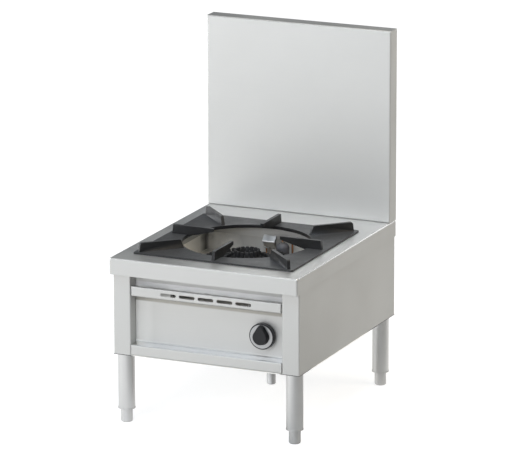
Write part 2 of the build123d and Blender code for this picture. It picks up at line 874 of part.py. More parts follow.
# Pot grate: one casting with a round opening, four corner fins and four middle fins
grate_top = worktop_height + grate_plate
fin_top = grate_top + fin_height
fin_step = 360 / fin_pairs
with BuildPart() as grate:
    with BuildSketch(level(worktop_height)):
        with Locations((0, burner_y)):
            RectangleRounded(grate_width, grate_depth, grate_corner)
    extrude(amount=grate_plate)
    fillet(grate.faces().sort_by(Axis.Z)[-1].edges(), fin_edge)
    with BuildSketch(level(worktop_height - grate_rim_drop)):
        with Locations((0, burner_y)):
            Circle(grate_opening + grate_rim)
    extrude(amount=grate_rim_drop)
    with BuildSketch(level(worktop_height - grate_rim_drop)):
        with Locations((0, burner_y)):
            Circle(grate_opening)
    extrude(amount=grate_plate + grate_rim_drop, mode=Mode.SUBTRACT)
    for pair in range(fin_pairs):
        with BuildSketch(radial(pair * fin_step)):
            with BuildLine():
                Polyline(
                    (middle_fin_outer + fin_slope, worktop_height + grate_plate / 2),
                    (middle_fin_outer, fin_top),
                    (middle_fin_tip, fin_top),
                    (middle_fin_tip, fin_top - middle_fin_nose),
                    (grate_opening, worktop_height),
                    (grate_opening + grate_rim, worktop_height),
                    close=True,
                )
            make_face()
        extrude(amount=fin_thickness / 2, both=True)
        with BuildSketch(radial((pair + 0.5) * fin_step)):
            with BuildLine():
                FilletPolyline(
                    (corner_fin_outer + fin_slope, worktop_height + grate_plate / 2),
                    (corner_fin_outer, fin_top),
                    (corner_fin_inner, fin_top),
                    (corner_fin_toe, worktop_height + grate_plate / 2),
                    radius=[fin_round, grate_plate],
                )
                Line(
                    (corner_fin_toe, worktop_height + grate_plate / 2),
                    (corner_fin_outer + fin_slope, worktop_height + grate_plate / 2),
                )
            make_face()
        extrude(amount=fin_thickness / 2, both=True)
grate.part.label = "grate"
export_step(grate.part, "parts/grate.step")

# Burner body: open ring, hub disc and arms in one casting, with a boss for the mixing tube
foot_places = [(x * burner_foot_x, burner_y + y * burner_foot_y) for x in (-1, 1) for y in (-1, 1)]
with BuildPart() as burner_body:
    with BuildSketch(level(ring_bottom)):
        with Locations((0, burner_y)):
            Circle(ring_outer)
            Circle(ring_inner, mode=Mode.SUBTRACT)
    extrude(amount=ring_top - ring_bottom)
    with BuildSketch(level(hub_bottom)):
        with Locations((0, burner_y)):
            with PolarLocations(ring_inner / 2 + hub_radius / 2, arm_count):
                Rectangle(ring_inner - hub_radius + arm_width, arm_width)
    extrude(amount=ring_top - hub_bottom)
    with BuildSketch(level(hub_bottom)):
        with Locations((0, burner_y)):
            Circle(hub_radius)
    extrude(amount=hub_top - hub_bottom)
    with BuildSketch(level(hub_top)):
        with Locations((0, burner_y)):
            Circle(spigot_radius)
    extrude(amount=spigot_height)
    with BuildSketch(crosswise(ring_outer - mixing_boss_radius)):
        with Locations((burner_y, mixing_z)):
            Circle(mixing_boss_radius)
    extrude(amount=mixing_boss_end - ring_outer + mixing_boss_radius)
    with BuildSketch(level(ring_top)):
        with Locations((0, burner_y)):
            Circle(ring_outer + spigot_clearance)
            Circle(ring_inner - spigot_clearance, mode=Mode.SUBTRACT)
    extrude(amount=mixing_boss_radius, mode=Mode.SUBTRACT)
    with BuildSketch(crosswise(mixing_boss_end)):
        with Locations((burner_y, mixing_z)):
            Circle(mixing_radius + plug_clearance)
    extrude(amount=-port_depth, mode=Mode.SUBTRACT)
    with BuildSketch(level(ring_bottom)):
        with Locations(*foot_places):
            Circle(burner_foot_radius)
    extrude(amount=bar_top - ring_bottom)
    with BuildSketch(level(bar_top)):
        with Locations(*foot_places):
            Circle(burner_bolt_radius + plug_clearance)
    extrude(amount=burner_bolt_reach - bar_thickness, mode=Mode.SUBTRACT)
    with BuildSketch(radial(ring_gap_centre - ring_gap_angle / 2)):
        with Locations((ring_inner - bend, ring_bottom)):
            Rectangle(ring_outer, ring_top, align=(Align.MIN, Align.MIN))
    revolve(
        axis=Axis((0, burner_y, 0), (0, 0, 1)), revolution_arc=ring_gap_angle, mode=Mode.SUBTRACT
    )
burner_body.part.label = "burner_body"
export_step(burner_body.part, "parts/burner_body.step")

# Outer burner ring with teeth, open at the back for the pilot
ring_arc = 360 - ring_gap_angle
ring_start = ring_gap_centre + ring_gap_angle / 2
ring_tooth_inset = ring_arc / ring_tooth_count / 2
with BuildPart() as burner_outer_ring:
    with BuildSketch(radial(ring_start)):
        with Locations((ring_inner, ring_top)):
            Rectangle(ring_outer - ring_inner, ring_cap, align=(Align.MIN, Align.MIN))
    revolve(axis=Axis((0, burner_y, 0), (0, 0, 1)), revolution_arc=ring_arc)
    with BuildSketch(level(ring_top + ring_cap)):
        with Locations((0, burner_y)):
            with PolarLocations(
                ring_outer - ring_tooth_length / 2 - tooth_set,
                ring_tooth_count,
                start_angle=ring_start + ring_tooth_inset,
                angular_range=ring_arc - 2 * ring_tooth_inset,
                endpoint=True,
            ):
                Rectangle(ring_tooth_length, ring_tooth_width)
    extrude(amount=ring_tooth_height)
burner_outer_ring.part.label = "burner_outer_ring"
export_step(burner_outer_ring.part, "parts/burner_outer_ring.step")

# Middle burner ring with teeth
with BuildPart() as burner_middle_ring:
    with BuildSketch(level(hub_top)):
        with Locations((0, burner_y)):
            Circle(middle_outer)
            Circle(middle_inner, mode=Mode.SUBTRACT)
    extrude(amount=middle_base)
    with BuildSketch(level(hub_top + middle_base)):
        with Locations((0, burner_y)):
            with PolarLocations(middle_outer - middle_tooth_length / 2 - tooth_set, middle_tooth_count):
                Rectangle(middle_tooth_length, middle_tooth_width)
    extrude(amount=middle_tooth_height)
burner_middle_ring.part.label = "burner_middle_ring"
export_step(burner_middle_ring.part, "parts/burner_middle_ring.step")

# Burner crown that lifts off the hub
with BuildPart() as burner_crown:
    with BuildSketch(level(hub_top)):
        with Locations((0, burner_y)):
            Circle(crown_radius)
    extrude(amount=crown_base)
    with BuildSketch(level(hub_top + crown_floor)):
        with Locations((0, burner_y)):
            Circle(crown_radius - crown_wall)
    extrude(amount=crown_base, mode=Mode.SUBTRACT)
    with BuildSketch(level(hub_top)):
        with Locations((0, burner_y)):
            Circle(spigot_radius + spigot_clearance)
    extrude(amount=spigot_height + spigot_clearance, mode=Mode.SUBTRACT)
    with BuildSketch(level(hub_top + crown_base)):
        with Locations((0, burner_y)):
            with PolarLocations(crown_radius - crown_tooth_length / 2 - tooth_set, crown_tooth_count):
                Rectangle(crown_tooth_length, crown_tooth_width)
    extrude(amount=crown_tooth_height)
burner_crown.part.label = "burner_crown"
export_step(burner_crown.part, "parts/burner_crown.step")

# Bars that carry the burner across the outlet of the pan, each a channel with its open side down
with BuildPart() as burner_bars:
    with BuildSketch(level(pan_floor_top)):
        with Locations((0, burner_y)):
            with GridLocations(0, 2 * burner_foot_y, 1, 2):
                Rectangle(bar_length, bar_width)
    extrude(amount=bar_height)
    with BuildSketch(level(pan_floor_top)):
        with Locations((0, burner_y)):
            with GridLocations(0, 2 * burner_foot_y, 1, 2):
                Rectangle(bar_length, bar_width - 2 * bar_thickness)
    extrude(amount=bar_under - pan_floor_top, mode=Mode.SUBTRACT)
    with BuildSketch(level(bar_under)):
        with Locations(*foot_places):
            Circle(burner_bolt_radius + screw_clearance)
    extrude(amount=bar_thickness, mode=Mode.SUBTRACT)
burner_bars.part.label = "burner_bars"
export_step(burner_bars.part, "parts/burner_bars.step")

# Bolts that hold the burner on its bars
with BuildPart() as burner_bolts:
    with BuildSketch(level(bar_under)):
        with Locations(*foot_places):
            RegularPolygon(bolt_head_width / 2, 6, major_radius=False)
    extrude(amount=-bolt_head_height)
    with BuildSketch(level(bar_under)):
        with Locations(*foot_places):
            Circle(burner_bolt_radius)
    extrude(amount=burner_bolt_reach)
burner_bolts.part.label = "burner_bolts"
export_step(burner_bolts.part, "parts/burner_bolts.step")

# Mixing tube with a flared mouth
with BuildPart() as mixing_tube:
    with BuildSketch(upright(burner_y)):
        with BuildLine():
            Polyline(
                (mixing_boss_end - port_depth, mixing_z + mixing_bore),
                (mixing_boss_end - port_depth, mixing_z + mixing_radius),
                (mixing_mouth_x - mixing_flare, mixing_z + mixing_radius),
                (mixing_mouth_x, mixing_z + mixing_mouth_radius),
                (mixing_mouth_x, mixing_z + mixing_mouth_radius - mixing_radius + mixing_bore),
                (mixing_mouth_x - mixing_flare, mixing_z + mixing_bore),
                close=True,
            )
        make_face()
    revolve(axis=Axis((0, burner_y, mixing_z), (1, 0, 0)))
mixing_tube.part.label = "mixing_tube"
export_step(mixing_tube.part, "parts/mixing_tube.step")

# Air shutter sleeve clamped on the mixing tube
with BuildPart() as air_shutter:
    with BuildSketch(crosswise(shutter_end)):
        with Locations((burner_y, mixing_z)):
            Circle(shutter_radius)
            Circle(mixing_radius + shutter_clearance, mode=Mode.SUBTRACT)
    extrude(amount=-shutter_length)
air_shutter.part.label = "air_shutter"
export_step(air_shutter.part, "parts/air_shutter.step")

# Injector with its jet in front of the mixing tube
with BuildPart() as injector:
    with BuildSketch(crosswise(injector_end_x)):
        with Locations((burner_y, mixing_z)):
            Circle(injector_radius)
    extrude(amount=-injector_length)
    chamfer(injector.faces().sort_by(Axis.X)[0].edges(), injector_radius / 2)
    with BuildSketch(crosswise(injector_end_x)):
        with Locations((burner_y, mixing_z)):
            Circle(injector_jet_radius)
    extrude(amount=-injector_length, mode=Mode.SUBTRACT)
injector.part.label = "injector"
export_step(injector.part, "parts/injector.step")

# Injector holder through the wall of the pan, fed from below
with BuildPart() as injector_holder:
    with BuildSketch(crosswise(injector_end_x)):
        with Locations((burner_y, mixing_z)):
            Circle(holder_nose_radius)
    extrude(amount=feed_lane_x - injector_end_x)
    with BuildSketch(crosswise(pan_outer_x)):
        with Locations((burner_y, mixing_z)):
            Circle(holder_radius)
    extrude(amount=holder_end_x - pan_outer_x)
    with BuildSketch(level(mixing_z)):
        with Locations((feed_lane_x, burner_y)):
            Circle(holder_port_radius)
    extrude(amount=-holder_port_drop)
    with BuildSketch(level(mixing_z - holder_port_drop)):
        with Locations((feed_lane_x, burner_y)):
            Circle(feed_radius + tube_clearance)
    extrude(amount=port_depth, mode=Mode.SUBTRACT)
injector_holder.part.label = "injector_holder"
export_step(injector_holder.part, "parts/injector_holder.step")

# Lock nut of the injector holder inside the pan
with BuildPart() as holder_nut:
    add(
        hex_nut(
            crosswise(pan_inner_x - holder_nut_height),
            (burner_y, mixing_z),
            holder_nut_width,
            holder_nut_height,
            holder_nose_radius + plug_clearance,
        )
    )
holder_nut.part.label = "holder_nut"
export_step(holder_nut.part, "parts/holder_nut.step")

# Gas tap: body along Y with a neck through the panel and ports below, above and beside
with BuildPart() as gas_tap:
    with BuildSketch(upright(tap_rear)):
        with Locations((tap_x, tap_z)):
            Circle(tap_radius)
    extrude(amount=tap_length)
    with BuildSketch(upright(tap_front)):
        with Locations((tap_x, tap_z)):
            Circle(tap_neck_radius)
    extrude(amount=tap_front - neck_front)
    with BuildSketch(upright(panel_back + tap_collar)):
        with Locations((tap_x, tap_z)):
            Circle(tap_collar_radius)
    extrude(amount=tap_collar)
    with BuildSketch(upright(tap_rear)):
        with Locations((tap_x, tap_z)):
            Circle(magnet_radius)
    extrude(amount=-magnet_length)
    with BuildSketch(level(tap_z)):
        with Locations((tap_x, tap_y)):
            Circle(inlet_boss_radius)
    extrude(amount=-inlet_boss_drop)
    with BuildSketch(level(tap_z)):
        with Locations((tap_x, tap_y)):
            Circle(outlet_boss_radius)
    extrude(amount=outlet_boss_rise)
    with BuildSketch(crosswise(tap_x)):
        with Locations((tap_y, tap_z)):
            Circle(pilot_boss_radius)
    extrude(amount=pilot_boss_reach)
    with BuildSketch(level(tap_z - inlet_boss_drop)):
        with Locations((tap_x, tap_y)):
            Circle(pipe_radius + tube_clearance)
    extrude(amount=port_depth, mode=Mode.SUBTRACT)
    with BuildSketch(level(tap_z + outlet_boss_rise)):
        with Locations((tap_x, tap_y)):
            Circle(feed_radius + tube_clearance)
    extrude(amount=-port_depth, mode=Mode.SUBTRACT)
    with BuildSketch(crosswise(tap_x + pilot_boss_reach)):
        with Locations((tap_y, tap_z)):
            Circle(pilot_tube_radius + tube_clearance)
    extrude(amount=-port_depth, mode=Mode.SUBTRACT)
    with BuildSketch(upright(tap_rear + magnet_length)):
        with Locations((tap_x, tap_z)):
            Circle(lead_radius + tube_clearance)
    extrude(amount=port_depth, mode=Mode.SUBTRACT)
    with BuildSketch(upright(guide_front + guide_length + press_travel + press_reserve)):
        with Locations((tap_x, tap_z)):
            Circle(guide_radius + running_clearance)
    extrude(amount=2 * guide_length, mode=Mode.SUBTRACT)
    with BuildSketch(upright(spindle_back + press_travel + press_reserve)):
        with Locations((tap_x, tap_z)):
            Circle(spindle_radius + bore_relief)
    extrude(amount=2 * guide_length, mode=Mode.SUBTRACT)
gas_tap.part.label = "gas_tap"
export_step(gas_tap.part, "parts/gas_tap.step")

# Nut that holds the tap to the panel
with BuildPart() as tap_nut:
    add(
        hex_nut(
            upright(panel_front),
            (tap_x, tap_z),
            tap_nut_width,
            tap_nut_height,
            tap_neck_radius + plug_clearance,
        )
    )
tap_nut.part.label = "tap_nut"
export_step(tap_nut.part, "parts/tap_nut.step")

# Push guide that slides in the neck of the tap and carries the turning spindle
with BuildPart() as push_guide:
    with BuildSketch(upright(guide_front + guide_length)):
        with Locations((tap_x, tap_z)):
            Circle(guide_radius)
            Circle(spindle_radius + running_clearance, mode=Mode.SUBTRACT)
    extrude(amount=guide_length)
push_guide.part.label = "push_guide"
export_step(push_guide.part, "parts/push_guide.step")

# Spindle that turns with the knob
spindle_front = knob_face - grip_height / 2
with BuildPart() as tap_spindle:
    with BuildSketch(upright(spindle_back)):
        with Locations((tap_x, tap_z)):
            Circle(spindle_radius)
    extrude(amount=spindle_back - spindle_front)
tap_spindle.part.label = "tap_spindle"
export_step(tap_spindle.part, "parts/tap_spindle.step")


def grip_outline(growth):
    """Pear outline of the knob's grip with its narrow end up, grown by a margin."""
    with BuildSketch() as outline:
        Circle(grip_radius + growth)
        with Locations((0, grip_neck_offset)):
            Circle(grip_neck_radius + growth)
        make_hull()
    return outline.sketch


# Knob: round skirt, hollow behind, with a pear-shaped grip
with BuildPart() as knob:
    with BuildSketch(upright(knob_back)):
        with Locations((tap_x, tap_z)):
            Circle(knob_radius)
    extrude(amount=knob_skirt)
    fillet(knob.faces().sort_by(Axis.Y)[0].edges(), knob_edge)
    with BuildSketch(upright(knob_face)):
        with Locations((tap_x, tap_z)):
            add(grip_outline(0))
    extrude(amount=grip_height, taper=grip_taper)
    fillet(knob.faces().sort_by(Axis.Y)[0].edges(), grip_edge)
    with BuildSketch(upright(knob_back)):
        with Locations((tap_x, tap_z)):
            Circle(knob_radius - knob_wall)
            Circle(knob_boss_radius, mode=Mode.SUBTRACT)
    extrude(amount=knob_hollow, mode=Mode.SUBTRACT)
    with BuildSketch(upright(knob_back)):
        with Locations((tap_x, tap_z)):
            Circle(spindle_radius + plug_clearance)
    extrude(amount=knob_back - spindle_front, mode=Mode.SUBTRACT)
    with BuildSketch(upright(knob_back)):
        with Locations((tap_x, tap_z)):
            Circle(knob_boss_radius)
            Circle(spindle_radius + plug_clearance, mode=Mode.SUBTRACT)
    extrude(amount=knob_back - guide_front + press_reserve, mode=Mode.SUBTRACT)
knob.part.label = "knob"
export_step(knob.part, "parts/knob.step")

# Bright ring plate on the face of the knob, open where the grip's narrow end crosses it
with BuildPart() as knob_ring:
    with BuildSketch(upright(knob_face)):
        with Locations((tap_x, tap_z)):
            Circle(ring_plate_outer)
            Circle(ring_plate_inner, mode=Mode.SUBTRACT)
            add(grip_outline(ring_plate_clearance), mode=Mode.SUBTRACT)
    extrude(amount=ring_plate)
knob_ring.part.label = "knob_ring"
export_step(knob_ring.part, "parts/knob_ring.step")

# Gas inlet pipe with a threaded lower end
with BuildPart() as inlet_pipe:
    with BuildSketch(level(pipe_bottom)):
        with Locations((tap_x, tap_y)):
            Circle(pipe_thread_radius)
    extrude(amount=pipe_thread_length)
    chamfer(inlet_pipe.faces().sort_by(Axis.Z)[0].edges(), pipe_chamfer)
    with BuildSketch(level(pipe_bottom + pipe_thread_length)):
        with Locations((tap_x, tap_y)):
            Circle(pipe_radius)
    extrude(amount=pipe_top - pipe_bottom - pipe_thread_length)
    with BuildSketch(level(pipe_bottom)):
        with Locations((tap_x, tap_y)):
            Circle(pipe_bore)
    extrude(amount=pipe_top - pipe_bottom, mode=Mode.SUBTRACT)
inlet_pipe.part.label = "inlet_pipe"
export_step(inlet_pipe.part, "parts/inlet_pipe.step")

# Nuts that clamp the pipe to the base from below and above
with BuildPart() as pipe_nuts:
    for nut_level in (base_height - pipe_nut_height, base_top):
        add(
            hex_nut(
                level(nut_level),
                (tap_x, tap_y),
                pipe_nut_width,
                pipe_nut_height,
                pipe_radius + plug_clearance,
            )
        )
pipe_nuts.part.label = "pipe_nuts"
export_step(pipe_nuts.part, "parts/pipe_nuts.step")

# Tube from the tap to the injector holder
feed_route = [
    (tap_x, tap_y, feed_start),
    (tap_x, tap_y, feed_level),
    (feed_lane_x, tap_y, feed_level),
    (feed_lane_x, burner_y, feed_level),
    (feed_lane_x, burner_y, feed_end),
]
with BuildPart() as feed_tube:
    add(bent_tube(feed_route, feed_radius, feed_bend))
feed_tube.part.label = "feed_tube"
export_step(feed_tube.part, "parts/feed_tube.step")

# Pilot bracket: foot on the pan's floor, upright plate and a tab for the probe
probe_tab_top = worktop_height - probe_tab_drop
with BuildPart() as pilot_bracket:
    with BuildSketch(level(pan_floor_top)):
        with Locations((bracket_left, bracket_foot_front)):
            Rectangle(
                bracket_foot_right - bracket_left,
                bracket_foot_rear - bracket_foot_front,
                align=(Align.MIN, Align.MIN),
            )
    extrude(amount=sheet)
    with BuildSketch(upright(bracket_plate_y + sheet)):
        with Locations((bracket_left, pan_floor_top)):
            Rectangle(
                bracket_right - bracket_left,
                worktop_height - bracket_top_drop - pan_floor_top,
                align=(Align.MIN, Align.MIN),
            )
        with Locations((probe_x, lead_run)):
            Circle(lead_radius + port_hole_clearance, mode=Mode.SUBTRACT)
    extrude(amount=sheet)
    with BuildSketch(level(probe_tab_top)):
        with Locations((probe_tab_left, bracket_plate_y)):
            Rectangle(
                probe_tab_right - probe_tab_left,
                bracket_plate_y - probe_y + lead_bend / 2,
                align=(Align.MIN, Align.MAX),
            )
        with Locations((probe_x, probe_y)):
            Circle(lead_radius + probe_clearance, mode=Mode.SUBTRACT)
    extrude(amount=-sheet)
pilot_bracket.part.label = "pilot_bracket"
export_step(pilot_bracket.part, "parts/pilot_bracket.step")

# Pilot hood: bent plate with an upper face that looks up, a lower one that looks down and a lip on the bracket
hood_points = [
    (bracket_plate_y - sheet, worktop_height - hood_top_drop - hood_lip),
    (bracket_plate_y - sheet, worktop_height - hood_top_drop),
    (hood_nose_y, worktop_height - hood_nose_drop),
    (hood_heel_y, worktop_height - hood_heel_drop),
]
with BuildPart() as pilot_hood:
    add(
        folded_sheet(
            crosswise(hood_left), hood_points, hood_right - hood_left, sheet, Side.RIGHT
        )
    )
    for edge_x, taper in ((hood_left, hood_taper), (hood_right, -hood_taper)):
        with BuildSketch(upright(bracket_plate_y)):
            with BuildLine():
                Polyline(
                    (edge_x, worktop_height - hood_nose_drop),
                    (edge_x, worktop_height - hood_heel_drop - sheet),
                    (edge_x + taper, worktop_height - hood_heel_drop - sheet),
                    close=True,
                )
            make_face()
        extrude(amount=bracket_plate_y - hood_nose_y + 2 * sheet, mode=Mode.SUBTRACT)
pilot_hood.part.label = "pilot_hood"
export_step(pilot_hood.part, "parts/pilot_hood.step")

# Pilot burner: round housing with a domed top
with BuildPart() as pilot_burner:
    with BuildSketch(level(bracket_foot_top)):
        with Locations((pilot_x, pilot_y)):
            Circle(pilot_radius)
    extrude(amount=pilot_height)
    fillet(pilot_burner.faces().sort_by(Axis.Z)[-1].edges(), pilot_dome)
    with BuildSketch(level(pilot_top)):
        with Locations((pilot_x, pilot_y)):
            Circle(pilot_tube_radius + tube_clearance)
    extrude(amount=-port_depth, mode=Mode.SUBTRACT)
pilot_burner.part.label = "pilot_burner"
export_step(pilot_burner.part, "parts/pilot_burner.step")

# Nut of the pilot tube on top of the pilot burner
with BuildPart() as pilot_nut:
    add(
        hex_nut(
            level(pilot_top),
            (pilot_x, pilot_y),
            pilot_nut_width,
            pilot_nut_height,
            pilot_tube_radius + tube_clearance,
        )
    )
pilot_nut.part.label = "pilot_nut"
export_step(pilot_nut.part, "parts/pilot_nut.step")

# Pilot gas tube from the tap, through the wall of the pan and over into the pilot burner
pilot_route = [
    (pilot_x, pilot_y, pilot_top - port_depth),
    (pilot_x, pilot_y, pilot_arch),
    (pilot_riser_x, pilot_y, pilot_arch),
    (pilot_riser_x, pilot_y, pilot_run),
    (pilot_lane_x, pilot_y, pilot_run),
    (pilot_lane_x, pilot_y, pilot_lane),
    (pilot_lane_x, tap_y, pilot_lane),
    (pilot_lane_x, tap_y, tap_z),
    (tap_x + pilot_boss_reach - port_depth, tap_y, tap_z),
]
with BuildPart() as pilot_tube:
    add(bent_tube(pilot_route, pilot_tube_radius, pilot_tube_bend))
pilot_tube.part.label = "pilot_tube"
export_step(pilot_tube.part, "parts/pilot_tube.step")

# Thermocouple probe under the hood
probe_bottom = probe_tab_top - sheet
with BuildPart() as thermocouple_probe:
    with BuildSketch(level(probe_bottom)):
        with Locations((probe_x, probe_y)):
            Circle(lead_radius)
    extrude(amount=worktop_height - probe_top_drop - probe_bottom)
    fillet(thermocouple_probe.faces().sort_by(Axis.Z)[-1].edges(), lead_radius / 2)
thermocouple_probe.part.label = "thermocouple_probe"
export_step(thermocouple_probe.part, "parts/thermocouple_probe.step")

# Copper lead of the thermocouple back to the tap
lead_route = [
    (probe_x, probe_y, probe_bottom),
    (probe_x, probe_y, lead_run),
    (probe_x, lead_back_y, lead_run),
    (lead_lane_x, lead_back_y, lead_run),
    (lead_lane_x, lead_back_y, tap_z),
    (lead_lane_x, lead_turn_y, tap_z),
    (tap_x, lead_turn_y, tap_z),
    (tap_x, tap_rear + magnet_length - port_depth, tap_z),
]
with BuildPart() as thermocouple_lead:
    add(bent_tube(lead_route, lead_radius, lead_bend))
thermocouple_lead.part.label = "thermocouple_lead"
export_step(thermocouple_lead.part, "parts/thermocouple_lead.step")
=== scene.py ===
"""Finishes, levelling feet, screws and stage of a stock pot stove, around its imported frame."""
import json
import math

import bpy
import numpy as np
from bpy.props import FloatProperty, FloatVectorProperty, PointerProperty
from mathutils import Matrix, Vector

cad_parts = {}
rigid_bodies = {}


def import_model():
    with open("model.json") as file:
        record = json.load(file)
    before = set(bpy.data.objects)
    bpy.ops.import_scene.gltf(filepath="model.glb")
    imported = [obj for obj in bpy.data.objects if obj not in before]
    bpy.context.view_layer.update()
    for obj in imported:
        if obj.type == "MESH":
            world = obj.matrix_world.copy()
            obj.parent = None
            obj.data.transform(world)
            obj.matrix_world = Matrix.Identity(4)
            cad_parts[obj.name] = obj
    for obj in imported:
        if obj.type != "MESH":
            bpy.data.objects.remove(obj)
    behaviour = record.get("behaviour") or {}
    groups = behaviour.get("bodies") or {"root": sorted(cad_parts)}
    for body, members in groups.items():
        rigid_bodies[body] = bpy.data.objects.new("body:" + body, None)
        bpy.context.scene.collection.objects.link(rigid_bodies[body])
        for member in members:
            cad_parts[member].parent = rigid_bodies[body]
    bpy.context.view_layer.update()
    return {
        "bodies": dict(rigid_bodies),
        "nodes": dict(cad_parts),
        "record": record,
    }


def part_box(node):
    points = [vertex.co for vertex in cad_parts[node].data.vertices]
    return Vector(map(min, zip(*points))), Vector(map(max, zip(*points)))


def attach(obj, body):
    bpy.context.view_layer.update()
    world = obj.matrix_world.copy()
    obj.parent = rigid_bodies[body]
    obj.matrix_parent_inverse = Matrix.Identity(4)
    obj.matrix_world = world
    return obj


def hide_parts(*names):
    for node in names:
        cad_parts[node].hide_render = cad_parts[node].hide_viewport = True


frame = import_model()

bl_info = {
    "name": "Stock pot stove",
    "version": (1, 0, 0),
    "blender": (4, 5, 0),
    "location": "3D View > Sidebar > Stove",
    "description": "Finishes, feet, screws and stage of a stock pot stove",
    "category": "Object",
}

MM = 0.001
PHOTO_WIDTH = 505
SENSOR_WIDTH = 36.0

# Ends of a mask that rises, which are also the span of a whole mask, and of one that falls
RISE = (0.0, 1.0)
FALL = (1.0, 0.0)

# Cells of a grain per metre along X, Y and Z
GRAIN_ACROSS = (3.0, 900.0, 900.0)
GRAIN_ALONG = (900.0, 3.0, 900.0)
GRAIN_UPRIGHT = (900.0, 900.0, 3.0)
GRAIN_PAN = (200.0, 6.0, 200.0)
GRAIN_TURNED = (8.0, 8.0, 2500.0)
GRAIN_HOOD = (8.0, 500.0, 500.0)
GRAIN_PILOT = (60.0, 60.0, 900.0)
GRAIN_RING = (400.0, 400.0, 400.0)
GRAIN_FASTENER = (300.0, 300.0, 300.0)

# Depths of the relief in a finish
BRUSHED_RELIEF = 0.02 * MM
TURNED_RELIEF = 0.001 * MM
TARNISH_RELIEF = 0.03 * MM
PLASTIC_RELIEF = 0.02 * MM

# Streaks and clouds of brushed steel: shares of the colour, span of the noise and changes of the roughness
STREAK_SHADES = (0.94, 1.06)
STREAK_SPAN = (0.3, 0.7)
STREAK_ROUGH = 0.05
CLOUD_ROUGH = (-0.02, 0.03)

# Parts of a face's normal between which it comes to count as sideways, rising or looking up
SIDEWAYS = (0.15, 0.35)
RISING = (0.1, 0.3)
LOOKING_UP = (0.75, 0.97)

# Heights between which upper faces stop being low ledges, which are glossier and painted with a bluish
# reflection, in metres
LEDGE_SPAN = (0.40, 0.42)

# Roughness that polish takes away and heat adds
POLISH_GLOSS = 0.1
RUBBED_GLOSS = 0.15
LEDGE_GLOSS = 0.25
HEAT_ROUGH = 0.12

# Skins of iron, plastic and tarnished metal: shades and changes of roughness, whole places first
IRON_SHADES = (0.85, 1.7)
IRON_ROUGH = (0.06, -0.08)
IRON_SHINE = 0.35
PLASTIC_SHADES = (0.9, 1.5)
PLASTIC_ROUGH = (0.04, -0.06)
PLASTIC_SHINE = 0.3
PLASTIC_GRAIN = 2200.0
TARNISH_SHARE = 0.6
TARNISH_ROUGH = 0.25
TARNISH_GRAIN = 900.0

# Turn of a drawn out gloss, as a share of a full turn
QUARTER_TURN = 0.25

# Edges: gap that a weld closes, steps of a soft edge, and the angles that count as sharp
WELD_GAP = 0.01 * MM
EDGE_STEPS = 2
SOFT_ANGLE = math.radians(40.0)
SHARP_ANGLE = math.radians(35.0)

# Turned pieces: points round them, steps of a quarter round, rings of a thread, its depth and the stem's tip
AROUND = 48
ROUND_STEPS = 7
RINGS_PER_PITCH = 8.0
THREAD_DEPTH = 0.45
STEM_TIP = 0.85

# Screws: shares of the shank's radius and length from its point to the head
SHANK_RADII = (0.6, 1.0, 1.0)
SHANK_HEIGHTS = (-1.0, -0.85, 0.0)

# Screw heads: rings of the top, and shares of the head's height, its radius and the recess's width
TOP_RINGS = 16
TOP_MIDDLE = 0.04
RIM_HEIGHT = 0.5
DOME_FOOT = 0.55
DOME_RISE = 0.45
DOME_BEND = 0.9
RECESS_DEPTH = 0.55
RECESS_WIDTH = 0.16
RECESS_WALL = 0.4
RECESS_REACH = 0.62
RECESS_END = 0.08

# Cosines between which the flag's edge fades
FLAG_SPAN = (0.2, 0.8)

# Lights: name, azimuth and elevation in degrees, width and height in metres, brightness and colour
LIGHT_DISTANCE = 3.5
LIGHT_TARGET = Vector((0.0, 0.0, 0.5))
LIGHTS = (
    ("front_near", -4.0, 19.0, 2.6, 1.5, 4.95, (0.925, 0.95, 1.0)),
    ("front_left", -55.0, 4.0, 1.8, 1.0, 5.6, (0.935, 0.96, 1.0)),
    ("left", -95.0, 14.0, 2.0, 2.0, 3.9, (0.94, 0.965, 1.0)),
    ("front_right", 16.0, 60.0, 2.0, 2.0, 5.4, (0.77, 0.885, 1.0)),
    ("right", 90.0, 38.0, 2.4, 2.4, 2.3, (1.0, 0.885, 0.715)),
    ("top", 155.0, 80.0, 2.4, 2.4, 2.2, (1.0, 0.94, 0.82)),
    ("back_right", 161.0, 14.0, 1.3, 1.7, 1.3, (1.0, 1.0, 1.0)),
)


def tint(label, description, value):
    """Colour property in linear light."""
    return FloatVectorProperty(
        name=label, description=description, subtype="COLOR", size=3, min=0.0, max=1.0, default=value
    )


def length(label, description, value):
    """Length property in metres."""
    return FloatProperty(name=label, description=description, unit="LENGTH", min=0.0, default=value)


def place(label, description, value):
    """Point property in metres."""
    return FloatVectorProperty(
        name=label, description=description, subtype="XYZ", unit="LENGTH", size=3, default=value
    )


def turn(label, description, degrees):
    """Angle property, written in degrees."""
    return FloatProperty(name=label, description=description, subtype="ANGLE", default=math.radians(degrees))


def glow(label, description, value):
    """Brightness property of a light, where 1 shows as white."""
    return FloatProperty(name=label, description=description, min=0.0, default=value)


def part_of(label, description, value):
    """Share property, from none to all."""
    return FloatProperty(
        name=label, description=description, subtype="FACTOR", min=0.0, max=1.0, default=value
    )


